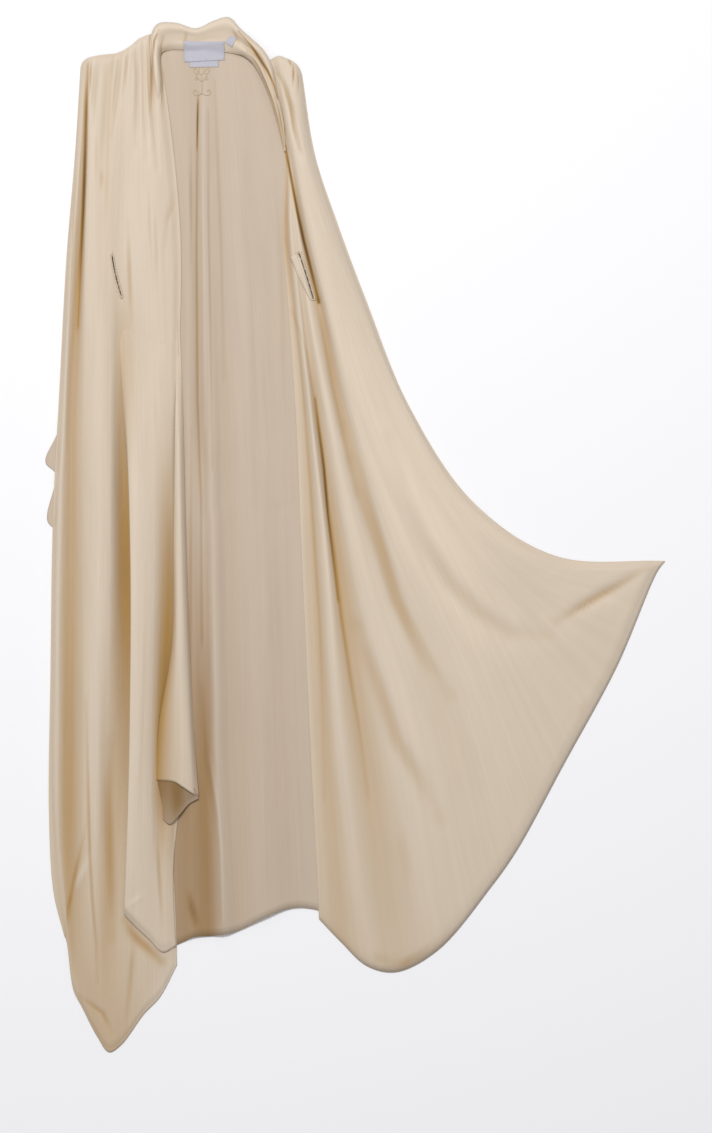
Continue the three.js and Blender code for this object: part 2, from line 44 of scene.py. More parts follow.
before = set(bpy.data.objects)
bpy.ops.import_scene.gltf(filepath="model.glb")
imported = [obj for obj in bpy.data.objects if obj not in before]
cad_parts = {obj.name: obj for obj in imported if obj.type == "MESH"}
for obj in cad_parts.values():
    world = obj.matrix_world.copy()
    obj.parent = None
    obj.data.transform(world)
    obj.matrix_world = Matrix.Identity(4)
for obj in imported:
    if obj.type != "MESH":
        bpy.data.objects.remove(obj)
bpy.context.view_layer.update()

MM = 0.001
BODY = "root"
CENTRE_COLUMN, CENTRE_ROW = 355.75, 537  # the grid square over the origin
LAYOUT_ROWS = 1031.25  # the kaftan's length in squares
IMAGE_WIDTH, IMAGE_HEIGHT = 712, 1133  # the frame, in squares, that the camera takes in
WALL = 1.6  # millimetres of a solid's cloth wall, on which the heights in the tables stand
LOWEST_FACE = 3.8  # millimetres to the outer face of a front where it lies flattest
EDGE_FALL = 16  # millimetres over which a front's edge comes down to what it lies on
EDGE_AIR = 0.3  # millimetres of air left under an edge
SHOULDER_ROLL = 9  # millimetres over which a front's top edge turns down at the shoulder
SHOULDER_ROWS = (0.06, 0.16, 0.32, 0.6)  # where rows are added below the top one, to round that roll
COLLAR_GAP = 0.4  # millimetres of air under the collar
COLLAR_END = 2.2  # millimetres that each end of the collar sinks into the front under it
COLLAR_END_ROWS = 10  # rows of its net over which it does
EMERGING = 0.3  # share of a folded layer's length over which it grows out of the cloth
SUNK = 0.5  # millimetres that a layer starts below the face that it grows out of
FOOTING = 0.002  # metres round a point over which an edge feels for what it lies on
COLLAR_FOOTING, LABEL_FOOTING = 0.0025, 0.0012  # the same for the collar and for a label
DEEP_FOLD = 0.011  # metres under its surroundings at which a fold gets its full painted shade
CREST_SHADE, VALLEY_SHADE = -0.2, 0.6  # the most painted highlight that height alone gives a crest, and the most painted shade that it gives a valley
FADE_ENDS = (0.08, 0.92)  # shares of a crease's length past which it fades no further
LEVEL_REACH = (12, 8)  # columns and rows over which the level round a point is taken
PALEST, DARKEST = -0.3, 1.8  # the painted shading of a broad painted highlight, and of the painted dark line deep in a fold
LABEL_GAP = 0.0003  # metres of air under a label
SLIT_MARGIN = 0.0008  # metres by which the hole cut for a slit is wider than the slit, on each side
BINDING_WALL = 0.0004  # metres of thickness of the slits' binding
# Stitches: length, gap, and how high they stand off the cloth, in metres.
SLIT_STITCH = (0.0035, 0.0018, 0.0002)
BAR_STITCH = (0.0055, 0.0004, 0.0004)
LABEL_STITCH = (0.0034, 0.0002, 0.0002)
SEAM_STITCH = (0.0035, 0.0015, 0.0003)
SLIT_THREAD, LABEL_THREAD, SEAM_THREAD = 0.0004, 0.00025, 0.0003  # radius of their thread, in metres
SLIT_BARS = (0.0018, 0.003, 0.0042)  # metres beyond the slit's head at which a bar of thread crosses
BAR_REACH = 0.0035  # metres to which a bar reaches on each side
KEY_PLACE, KEY_AIM = (-0.8, 2.3, 5.0), (0, 0.1, 0)  # metres: the one lamp, above the collar
KEY_SIZE, KEY_POWER = 1.6, 198  # metres and watts
CAMERA_HEIGHT = 7.0  # metres, high enough for the kaftan to be seen from straight above all over

# ---------------------------------------------------------------- the cut, line by line

# Lines and creases can carry numbers that paint shade into the cloth's colour: towards 1 and past it the
# painted shade of a deep fold, and below 0 a painted highlight.
BACK_STATIONS = [0, 0.2, 0.408, 0.452, 0.466, 0.52, 0.536, 0.8, 1]
BACK_LINES = [
    dict(line="left edge", columns=[87, 72, 60, 45.5, 55.5, 47.2, 57, 57, 76], top=76, hem=930, rise=[0] * 9),
    dict(line="left side", columns=[100, 86, 76, 75, 75, 75, 75, 74, 92], top=62, hem=955, rise=[0] * 9),
    dict(
        line="under folds", columns=[140, 140, 140, 140, 140, 140, 140, 140, 148], top=50, hem=956,
        rise=[0] * 9,
    ),
    dict(
        line="beside folds", columns=[164, 178, 180, 180, 180, 180, 180, 180, 181], top=48, hem=943,
        rise=[0] * 9, painted_shading=[0, 0.05, 0.1, 0.1, 0.1, 0.15, 0.2, 0.75, 0.75],
    ),
    dict(
        line="first ridge", columns=[184, 188, 189, 190, 190, 191, 191, 192, 194], top=48, hem=937,
        rise=[0, 2.5, 3, 3, 3, 3, 3, 3, 3], painted_shading=[0.05, 0.1, 0.08, 0.1, 0.1, 0.12, 0.2, 0.85, 0.85],
    ),
    dict(
        line="centre valley", columns=[196, 197, 200, 201, 202, 202, 203, 207, 210], top=49, hem=936,
        rise=[0, 0, 0, 0, 0, 0, 0, 0, 1], painted_shading=[0.1, 0.2, 0.3, 0.2, 0.15, 0.05, 0, 0.85, 0.9],
    ),
    dict(
        line="centre ridge", columns=[204, 207, 211, 211, 211, 212, 213, 217, 225], top=50, hem=934,
        rise=[1, 3, 5, 6, 6, 7, 8, 7, 6], painted_shading=[0, 0.05, 0.05, 0.05, 0.05, 0, 0, 0.2, 0.25],
    ),
    dict(
        line="centre foot", columns=[213, 217, 222, 223, 223, 224, 225, 230, 238], top=51, hem=931,
        rise=[0, 0, 0, 0, 0, 1, 1, 0, 1], painted_shading=[0, 0.05, 0.05, 0.05, 0.05, 0.05, 0.05, 0.12, 0.15],
    ),
    dict(
        line="broad swell", columns=[226, 239, 250, 252, 253, 254, 255, 260, 264], top=51, hem=918,
        rise=[0, 3, 4, 4, 4, 4, 4, 4, 5], painted_shading=[0, 0, 0, 0, 0, 0, 0, 0.12, 0.12],
    ),
    dict(
        line="right valley", columns=[238, 261, 274, 276, 277, 278, 279, 285, 292], top=53, hem=908,
        rise=[0, 0, 1, 1, 1, 1, 0, 1, 2], painted_shading=[0, 0, 0, 0, 0, 0, 0, 0.1, 0.1],
    ),
    dict(
        line="under front edge", columns=[250, 282, 298, 300, 301, 303, 304, 311, 317], top=56, hem=910,
        rise=[0] * 9,
    ),
    dict(
        line="under slit", columns=[268, 302, 326, 332, 334, 340, 344, 366, 384], top=62, hem=936,
        rise=[0] * 9,
    ),
    dict(
        line="under groove", columns=[280, 318, 362, 376, 382, 396, 407, 452, 492],
        rows=[72, 258, 420, 458, 474, 508, 538, 740, 868], rise=[0] * 9,
    ),
    dict(
        line="wing", columns=[291, 326, 383, 398, 405, 422, 438, 514, 580],
        rows=[80, 252, 406, 440, 455, 488, 514, 640, 716], rise=[0] * 9,
    ),
    dict(
        line="outer edge", columns=[299, 334, 394, 412, 421, 445, 468, 556, 640],
        rows=[98, 236, 396, 428, 442, 474, 500, 568, 582], rise=[0] * 9,
    ),
]
BACK_CREASES = [
    dict(crease="centre back fold", columns=[198, 197.5, 196.5, 197, 197.5, 201, 202],
         rows=[99, 126, 240, 320, 400, 500, 640], depth=-1.6, width=2, painted_shading=0.5, taper=0.4),
    dict(crease="centre back, darkest", columns=[198, 197.6, 197.2], rows=[98, 116, 146],
         depth=-1, width=1.6, painted_shading=1.1, taper=0.5),
    dict(crease="beside the centre fold", columns=[203.5, 203, 204, 205], rows=[100, 190, 300, 430],
         depth=1, width=3, painted_shading=-0.2, taper=0.5),
    dict(crease="second line", columns=[208.5, 209, 211, 213], rows=[110, 210, 330, 470],
         depth=-0.8, width=2.4, painted_shading=0.3, taper=0.5),
    dict(crease="third line", columns=[214.5, 217.5, 221, 224], rows=[78, 150, 240, 380],
         depth=-1, width=3, painted_shading=0.2, taper=0.5),
    dict(crease="short line", columns=[191, 191.5, 192], rows=[150, 200, 262], depth=-0.8, width=2.4,
         painted_shading=0.25),
    dict(crease="lower line", columns=[192, 191, 190.5, 191], rows=[430, 520, 620, 720],
         depth=-1, width=2.6, painted_shading=0.25),
    dict(crease="faint, right", columns=[244, 252, 256, 258], rows=[160, 300, 470, 640],
         depth=-0.8, width=6, painted_shading=0.06),
    dict(crease="faint, far right", columns=[276, 282, 284], rows=[180, 290, 400],
         depth=-0.8, width=4, painted_shading=0.1),
    dict(crease="low, brown edge", columns=[202, 206.5, 214.5, 217.5, 219.5], rows=[690, 757, 811, 855, 918],
         depth=-1, width=4.5, painted_shading=0.15, taper=0.5),
    dict(crease="low, light edge", columns=[209, 219, 222, 223.5], rows=[752, 811, 856, 918],
         depth=1, width=2.6, painted_shading=-0.2, taper=0.5),
    dict(crease="hollow at the hem", columns=[189, 193, 197], rows=[896, 912, 925], depth=-1.5, width=6,
         painted_shading=0.35, taper=0.5),
]

FRONT_STATIONS = [0, 0.1, 0.22, 0.36, 0.52, 0.7, 0.86, 0.95, 1]
RIGHT_FRONT_LINES = [
    dict(
        line="side fold", columns=[80.5, 75, 66.5, 60, 53, 50.5, 49, 53.5, 64], top=67, hem=935,
        rise=[6, 4, 3.8, 3.8, 3.8, 3.8, 3.8, 3.8, 3.8],
        painted_shading=[0, 0.1, 0.15, 0.1, 0.05, 0.05, 0.05, 0.1, 0.2],
    ),
    dict(
        line="side strip", columns=[82.5, 78.5, 71, 65.5, 58.5, 56, 55.5, 62.5, 66.5], top=62.5, hem=941,
        rise=[9, 11, 13, 14, 14, 14, 10, 6, 4.5], painted_shading=[0, 0.05, 0.1, 0.1, 0.1, 0.1, 0.15, 0.25, 0.3],
    ),
    dict(
        line="side groove", columns=[86.5, 85.5, 80.5, 73, 72, 70, 69.5, 71.5, 73.5], top=59, hem=990,
        rise=[10, 7, 6, 7, 7, 7, 6, 5, 4.5], painted_shading=[0.1, 0.35, 0.6, 0.5, 0.5, 0.6, 0.65, 0.5, 0.2],
    ),
    dict(
        line="groove crest", columns=[91.5, 89.5, 86.5, 86, 87, 87.5, 83, 80.5, 82], top=57, hem=1007,
        rise=[13, 16, 17, 17, 18, 18, 14, 9, 4.5], painted_shading=[0, 0, 0, 0.05, 0.1, 0.15, 0.35, 0.4, 0.35],
    ),
    dict(
        line="broad plane", columns=[103, 101, 100, 99, 100, 98, 95, 95, 97], top=55, hem=1036,
        rise=[15, 18, 21, 24, 24, 20, 15, 10, 4.5], painted_shading=[0.1, 0.12, 0.1, 0, 0, 0.05, 0.2, 0.4, 0.45],
    ),
    dict(
        line="plane's far side", columns=[118, 114, 111, 110, 110, 107, 107, 108, 109], top=53, hem=1052,
        rise=[16, 18, 20, 20, 20, 15, 11, 8, 4.5], painted_shading=[0.1, 0.12, 0.1, 0, 0.05, 0.3, 0.5, 0.4, 0.45],
    ),
    dict(
        line="long trough", columns=[130, 125, 121, 121, 124, 126, 122, 120.5, 121], top=46.5, hem=1045,
        rise=[16, 17, 16, 8, 5, 6, 9, 8, 4.5], painted_shading=[0, 0.05, 0.05, 0.5, 0.9, 0.55, 0.25, 0.35, 0.4],
    ),
    dict(
        line="under middle layer", columns=[139, 137, 138, 141, 145, 146, 144, 144, 144], top=39, hem=1014,
        rise=[15, 16, 17, 12, 8, 7, 8, 8, 4.5], painted_shading=[0, 0, 0, 0.2, 0.6, 0.5, 0.25, 0.2, 0.2],
    ),
    dict(
        line="chest swell", columns=[148, 150, 156, 161, 162, 160, 160, 160, 160], top=35, hem=997,
        rise=[13, 14, 15, 12, 8, 7, 7, 7, 4.5], painted_shading=[0, 0, 0, 0, 0.2, 0.4, 0.2, 0.2, 0],
    ),
    dict(
        line="front edge", columns=[157, 171, 181, 179.5, 178, 172, 172, 176, 177], top=33, hem=965,
        rise=[10, 7, 5, 5, 5, 3.8, 3.8, 4.2, 3.8], painted_shading=[0, 0, 0, 0, 0, 0.2, 0.2, 0.1, 0],
    ),
]
SHOULDER_GATHERS = [
    dict(crease="by the side fold", columns=[97, 95, 92], rows=[58, 90, 128], depth=-3, width=4),
    dict(crease="shoulder, broad", columns=[110, 108, 103], rows=[54, 100, 190], depth=-3, width=7),
    dict(crease="shoulder, first", columns=[121, 117.5, 111], rows=[50, 86, 138], depth=-3, width=4),
    dict(crease="shoulder, second", columns=[136, 138.5, 136.5], rows=[42, 82, 150], depth=-3.5, width=4),
    dict(
        crease="beside the collar", columns=[143.5, 144, 145, 148], rows=[38, 70, 112, 160], depth=-3.5,
        width=4,
    ),
    dict(
        crease="under the collar", columns=[151, 152, 153, 158], rows=[34, 70, 110, 170], depth=-4, width=4,
    ),
]
LAYER_STATIONS = [0, 0.2, 0.45, 0.7, 0.88, 1]
MIDDLE_LAYER_LINES = [
    dict(
        line="tucked edge", columns=[117, 124.5, 134.5, 133.5, 130.5, 127.5], top=296, hem=914,
        rise=[13, 15, 16, 15, 12, 10], painted_shading=[0, 0.4, 0.6, 0.3, 0, 0],
    ),
    dict(
        line="left crest", columns=[122, 127.5, 131.5, 130.5, 127.5, 124.5], top=296, hem=914,
        rise=[15, 21, 30, 28, 22, 16], painted_shading=[0, 0.1, 0, 0, 0, 0.05],
    ),
    dict(
        line="plane", columns=[135, 140, 143, 142, 140, 136], top=296, hem=927,
        rise=[16, 24, 31, 28, 22, 16], painted_shading=[0, 0, 0, 0, 0, 0.05],
    ),
    dict(
        line="plane's far side", columns=[149, 153, 154, 151, 151, 149], top=296, hem=939,
        rise=[15, 22, 25, 21, 17, 14], painted_shading=[0, 0, 0.1, 0.15, 0.05, 0.05],
    ),
    dict(
        line="trough", columns=[163, 169, 169, 162, 162, 163], top=298, hem=952,
        rise=[13, 16, 11, 10, 11, 11], painted_shading=[0, 0.15, 0.8, 1, 0.15, 0.05],
    ),
    dict(
        line="under inner layer", columns=[177.5, 180.5, 185, 185, 173.5, 176], top=300, hem=946,
        rise=[6, 9, 9, 9, 9, 8], painted_shading=[0, 0.1, 0.5, 0.5, 0.15, 0.05],
    ),
]
INNER_LAYER_LINES = [
    dict(
        line="left edge", columns=[177.5, 175.5, 174.3, 172, 158.5, 155], top=330, hem=780,
        rise=[6, 15, 20, 17, 14, 13], painted_shading=[0, 0.1, 0.2, 0.7, 1, 1],
    ),
    dict(
        line="crest", columns=[178.2, 177.8, 178, 177.5, 176, 174], top=330, hem=781,
        rise=[6, 17, 25, 27, 25, 22], painted_shading=[0, 0, 0, 0.1, 0.25, 0.3],
    ),
    dict(
        line="plane", columns=[178.8, 180, 181.5, 183, 184, 183], top=330, hem=786,
        rise=[6, 16, 25, 28, 27, 25], painted_shading=[0, 0, 0, 0.05, 0.08, 0.15],
    ),
    dict(
        line="far side", columns=[179.4, 181.8, 184.3, 187.5, 190.5, 192], top=330, hem=792,
        rise=[5.5, 12, 18, 22, 22, 21], painted_shading=[0, 0, 0, 0.05, 0.05, 0.15],
    ),
    dict(
        line="front edge", columns=[180, 183.4, 186.5, 190.7, 195, 199], top=330, hem=796,
        rise=[4.5, 4.5, 4.2, 4, 4, 7], painted_shading=[0, 0, 0, 0.05, 0.05, 0.1],
    ),
]
TURNED_HEM_LINES = [
    dict(
        line="left side", columns=[157, 160.5, 163, 163.5], rows=[778, 793, 806, 819],
        rise=[12, 12.5, 13, 12.5], painted_shading=[1, 0.9, 0.8, 0.7],
    ),
    dict(
        line="left fold", columns=[168, 168.5, 169, 170], rows=[777, 796, 811, 824],
        rise=[18, 16, 14, 12.5], painted_shading=[1, 0.9, 0.75, 0.6],
    ),
    dict(
        line="middle crease", columns=[178, 178.5, 179, 179.5], rows=[779, 794, 806, 815],
        rise=[22, 16, 12, 10], painted_shading=[1, 1, 0.9, 0.7],
    ),
    dict(
        line="right fold", columns=[187, 188, 188.8, 189], rows=[784, 793, 799, 804], rise=[22, 17, 12, 9],
        painted_shading=[0.9, 0.7, 0.6, 0.5],
    ),
    dict(
        line="right side", columns=[195, 197, 198.3, 199], rows=[788, 793, 796, 798], rise=[17, 14, 11, 9],
        painted_shading=[0.6, 0.5, 0.4, 0.3],
    ),
]

LEFT_FRONT_LINES = [
    dict(
        line="front edge", columns=[260.5, 283.6, 282.6, 288.5, 296, 302, 309, 319],
        rows=[70, 152, 230, 310, 420, 560, 720, 919], rise=[8, 6, 4.5, 4, 3.8, 3.8, 3.8, 4.6],
        painted_shading=[0, 0.2, 0.3, 0.15, 0.1, 0.1, 0.1, 0.15],
    ),
    dict(
        line="edge groove", columns=[264, 284.7, 286, 293, 305.5, 315, 324.5, 341],
        rows=[66, 153, 230, 310, 420, 560, 722, 942], rise=[9, 8, 7, 6, 6, 6, 6, 5],
        painted_shading=[0, 0.3, 0.6, 0.25, 0.25, 0.35, 0.4, 0.35],
    ),
    dict(
        line="second crest", columns=[267, 285.8, 291, 299.5, 311.5, 327, 338, 367],
        rows=[63, 153, 231, 310, 418, 562, 724, 966], rise=[11, 10, 12, 13, 15, 16, 13, 7],
        painted_shading=[0, 0.2, 0.05, 0.1, 0.05, 0, 0.05, 0.15],
    ),
    dict(
        line="second groove", columns=[269.5, 287.2, 295, 304, 318, 335.5, 357.5, 396],
        rows=[61, 154, 231, 311, 420, 562, 728, 972], rise=[12, 10, 11, 10, 6, 6, 8, 6],
        painted_shading=[0, 0.2, 0.05, 0.15, 0.3, 0.5, 0.4, 0.2],
    ),
    dict(
        line="slit plane", columns=[272, 288.6, 298.5, 310, 330, 358, 395, 438],
        rows=[59, 154, 231, 311, 420, 560, 712, 950], rise=[12, 10, 13, 15, 17, 16, 14, 7],
        painted_shading=[0, 0.1, 0, 0, 0, 0, 0, 0.05],
    ),
    dict(
        line="main groove", columns=[274, 289.3, 302.5, 320.5, 343, 380, 440, 491],
        rows=[58, 152, 231, 310, 415, 552, 690, 887], rise=[13, 10, 7, 8, 10, 12, 12, 7],
        painted_shading=[0.1, 0.2, 0.25, 0.35, 0.35, 0.15, 0.05, 0],
    ),
    dict(
        line="arm crest", columns=[279, 293, 308, 327, 353, 398, 458, 517],
        rows=[56, 150, 226, 305, 410, 536, 664, 850], rise=[16, 16, 18, 19, 18, 17, 15, 7],
        painted_shading=[0, 0, 0, 0, -0.05, -0.1, -0.05, 0],
    ),
    dict(
        line="arm", columns=[285, 299.5, 318, 343, 378, 428, 488, 565],
        rows=[58, 140, 212, 285, 380, 496, 612, 762], rise=[17, 19, 20, 19, 17, 15, 13, 7],
        painted_shading=[0, 0, 0, 0, -0.12, -0.26, -0.12, 0],
    ),
    dict(
        line="upper arm", columns=[292, 304.5, 324, 351, 390.5, 447, 519, 617],
        rows=[61, 145, 215, 290, 390, 499, 586, 666], rise=[17, 18, 18, 17, 15, 14, 12, 7],
        painted_shading=[0, 0, 0, 0, -0.12, -0.18, 0, 0],
    ),
    dict(
        line="wing fold side", columns=[298, 309.5, 330, 359.5, 403, 466, 550, 657],
        rows=[66, 150, 218, 296, 401, 502, 562, 572], rise=[13, 13, 13, 12, 11, 10, 9, 6.5],
        painted_shading=[0.1, 0.05, 0.05, 0, -0.05, -0.08, 0, 0],
    ),
    dict(
        line="outer edge", columns=[302, 315, 337, 366, 409, 474, 556, 665],
        rows=[74, 155, 222, 300, 406, 503, 556, 561], rise=[4.5, 3.8, 3.8, 3.8, 3.8, 3.8, 3.8, 3.8],
    ),
]
LEFT_FRONT_CREASES = [
    dict(
        crease="hip trough", columns=[388, 405, 424, 450, 478, 510, 548],
        rows=[440, 500, 541, 582, 612, 634, 636],
        depth=-4.5, width=13, painted_shading=0.1,
    ),
    dict(
        crease="thigh trough", columns=[349, 363, 378, 396, 426, 452], rows=[460, 500, 542, 602, 660, 698],
        depth=-3.5, width=10, painted_shading=0.12,
    ),
    dict(
        crease="corner trough", columns=[558, 576, 595, 622, 650], rows=[622, 610, 599, 584, 565], depth=-3,
        width=9, painted_shading=0.1,
    ),
    dict(
        crease="hem trough", columns=[358, 371, 385, 398, 420, 441], rows=[625, 662, 702, 742, 781, 822],
        depth=-4.5, width=12, painted_shading=0.16,
    ),
    dict(
        crease="shoulder gather", columns=[277, 286, 292, 295, 301], rows=[70, 90, 110, 130, 156], depth=-4,
        width=4,
    ),
]

COLLAR_LINES = [
    dict(
        line="seam",
        columns=[160.6, 162.6, 162, 169, 182, 197, 213, 225, 234, 243, 252.5, 261, 269.8, 277.3, 284],
        rows=[112, 84, 54, 50.5, 50, 50.5, 51.5, 52.5, 54, 56.5, 64, 78, 99, 124, 152],
        rise=[5, 5, 5, 2.4, 2.4, 2.4, 2.4, 2.4, 3, 6, 9, 9, 9, 8, 7],
    ),
    dict(
        line="inner ridge",
        columns=[160, 160.3, 159, 167, 181, 197, 214, 226, 236, 245.5, 255.2, 263.2, 271.6, 279, 284.5],
        rows=[112, 84, 49, 45, 44, 44.5, 43.5, 43.5, 47.5, 52.5, 61, 75.5, 97, 123, 152],
        rise=[5, 16, 16, 10, 8, 7.5, 8, 9, 12, 18, 20, 20, 19, 15, 9.4],
    ),
    dict(
        line="pocket",
        columns=[159.3, 158, 156, 165, 180, 197, 214, 227, 238, 247.5, 257.8, 266, 273.2, 280.4, 285],
        rows=[112, 84, 44, 37, 35.5, 38, 34.5, 33.5, 40.5, 48.5, 57.5, 72, 95, 122, 152],
        rise=[5, 18, 19.5, 13, 9, 8, 10, 12, 13, 14, 15, 17, 17.5, 14.5, 9.6],
    ),
    dict(
        line="outer ridge",
        columns=[158.7, 155.8, 153.5, 161, 178, 196.5, 214, 228, 239, 249, 260.5, 269, 275, 281.8, 285.5],
        rows=[112, 84, 40, 29, 28, 32, 25.5, 22.5, 33, 44, 54, 68.5, 92, 121, 152],
        rise=[5, 17, 20, 17, 13, 11, 14, 17, 20, 22, 22, 22, 21, 15, 9.6],
    ),
    dict(
        line="outer edge",
        columns=[158.1, 154, 151, 158, 176, 196, 213.5, 229, 240.5, 252, 263.5, 272, 277, 283.2, 286],
        rows=[112, 84, 37, 24, 23, 28.5, 21, 17.5, 29, 39.5, 50.5, 66, 90, 120, 152],
        rise=[5, 5, 8, 4, 3, 3, 3, 4, 7, 12, 15, 16, 16, 13, 9.4],
    ),
]

RIGHT_SLIT = dict(columns=[113, 115, 118, 122], rows=[258, 270, 283, 297], facing=[0, 0, 0, 0])
LEFT_SLIT = dict(columns=[299.5, 304.5, 309, 313.5], rows=[255, 270, 284, 299], facing=[13, 11, 8, 3])
# Across a binding, as shares of its width and metres over the cloth: it turns over the slit's
# edge, rounds up and comes down to the cloth.
BINDING_SECTION = ((0, 0.0002), (0.12, 0.0014), (0.35, 0.002), (0.65, 0.002), (0.88, 0.0015), (1, 0.0004))
CARE_LABEL = dict(columns=[188.6, 218, 218.7, 189.6], rows=[53, 53, 67, 67.6])
NECK_LABEL = dict(columns=[183.5, 224.4, 224.8, 184], rows=[41.6, 42.4, 60.2, 62.4])
SIZE_TAB = dict(columns=[225, 230.5, 236.5, 232], rows=[43, 36.5, 39.5, 48])
# The neck label's corner stitches: left and right end as columns, and the row of each.
LABEL_CORNERS = ((184.8, 187.3, 45), (184.8, 187.3, 60.6), (221.6, 224.1, 45), (222.2, 224.7, 58.6))

# Finer creases than the solids have, in the same columns as the creases above. The number that paints shade
# adds the painted shade of a deep fold, and below 0 a painted highlight, and a low taper keeps a long
# crease's depth nearly to its ends.
RIGHT_FRONT_FINE = [
    dict(crease="side fold's dark line", columns=[88, 87, 86.5, 85.3, 84.5, 83.5, 82, 80.5, 78],
         rows=[66, 90, 109, 152, 181, 209, 240, 270, 330], depth=-2, width=2.2, painted_shading=1.15, taper=0.9),
    dict(crease="side fold, short", columns=[91.5, 91, 90], rows=[62, 74, 96], depth=-1, width=1.8, painted_shading=0.5),
    dict(crease="side strip's line", columns=[78, 74, 71], rows=[152, 210, 300], depth=-0.8, width=1.8,
         painted_shading=0.3),
    dict(crease="collar's fold, outer", columns=[153, 152.5, 152, 151.5], rows=[44, 66, 88, 112],
         depth=-1.5, width=2, painted_shading=0.6),
    dict(crease="collar's fold, inner", columns=[162, 162.5, 163, 164], rows=[56, 74, 96, 118],
         depth=-1.2, width=2.2, painted_shading=0.35),
    dict(crease="diagonal line", columns=[177.5, 172, 165], rows=[199, 210, 224], depth=-0.8, width=2.5,
         painted_shading=0.12),
    dict(crease="short dips", columns=[102, 102.5], rows=[171, 188], depth=-0.8, width=2.4, painted_shading=0.2),
    dict(crease="side line", columns=[86, 88, 89, 90.5, 93, 97, 98],
         rows=[700, 760, 800, 854, 900, 946, 983], depth=-1.8, width=2.4, painted_shading=0.35),
    dict(crease="lower left ridge", columns=[72, 90.5], rows=[894, 854], depth=1.2, width=5, painted_shading=-0.2),
    dict(crease="broad lower trough", columns=[111, 109, 111, 113], rows=[740, 800, 870, 940],
         depth=-2, width=8, painted_shading=0.3),
    dict(crease="notch fold", columns=[88, 76, 69, 66], rows=[821, 870, 906, 937], depth=-1.5, width=3,
         painted_shading=0.25),
    dict(crease="tip, first", columns=[80, 103, 112], rows=[996, 1013, 1032], depth=-1.5, width=4, painted_shading=0.2),
    dict(crease="tip, second", columns=[134, 132, 126], rows=[942, 967, 1034], depth=-1.5, width=4,
         painted_shading=0.18),
    dict(crease="under the middle hem", columns=[126, 132, 140, 150, 162], rows=[920, 932, 941, 950, 962],
         depth=-1.5, width=7, painted_shading=0.55, taper=0.5),
    dict(crease="beside the slit", columns=[128.5, 129.5, 130.5, 131.5], rows=[224, 262, 292, 322],
         depth=-1.5, width=2.6, painted_shading=0.28),
    dict(crease="chest, first", columns=[150, 150.5, 152], rows=[196, 226, 262], depth=-0.8, width=2.6,
         painted_shading=0.12),
    dict(crease="chest, second", columns=[156, 157, 158.5], rows=[203, 237, 290], depth=-0.8, width=3,
         painted_shading=0.12),
    dict(crease="chest, slanted", columns=[177, 170, 166, 164], rows=[187, 209, 236, 270],
         depth=-0.8, width=3.5, painted_shading=0.1),
    dict(crease="upper arm, first", columns=[97, 97.5], rows=[132, 186], depth=-0.7, width=2.6, painted_shading=0.1),
    dict(crease="upper arm, second", columns=[108, 107], rows=[150, 222], depth=-0.7, width=3, painted_shading=0.1),
    dict(crease="shoulder, fine", columns=[88.5, 87, 85], rows=[62, 90, 140], depth=-1, width=2.5, painted_shading=0.15),
    dict(crease="shoulder, short", columns=[128, 127, 124], rows=[50, 66, 96], depth=-1.5, width=2.2,
         painted_shading=0.25),
    dict(crease="shoulder, shorter", columns=[114, 112.5, 111], rows=[53, 66, 84], depth=-1, width=2.2,
         painted_shading=0.1),
    dict(crease="under the collar, fine", columns=[147.5, 148.5, 151], rows=[38, 80, 130],
         depth=-1.5, width=2.2, painted_shading=0.4),
]
MIDDLE_LAYER_FINE = [
    dict(crease="hem crease", columns=[158, 160, 163], rows=[836, 876, 925], depth=-1.5, width=2.8,
         painted_shading=0.22),
    dict(crease="hem, slanted", columns=[126, 146], rows=[907, 892], depth=1, width=4, painted_shading=-0.1),
    dict(crease="long line", columns=[148, 146, 143, 141], rows=[560, 660, 760, 860], depth=-1, width=4,
         painted_shading=0.08),
]
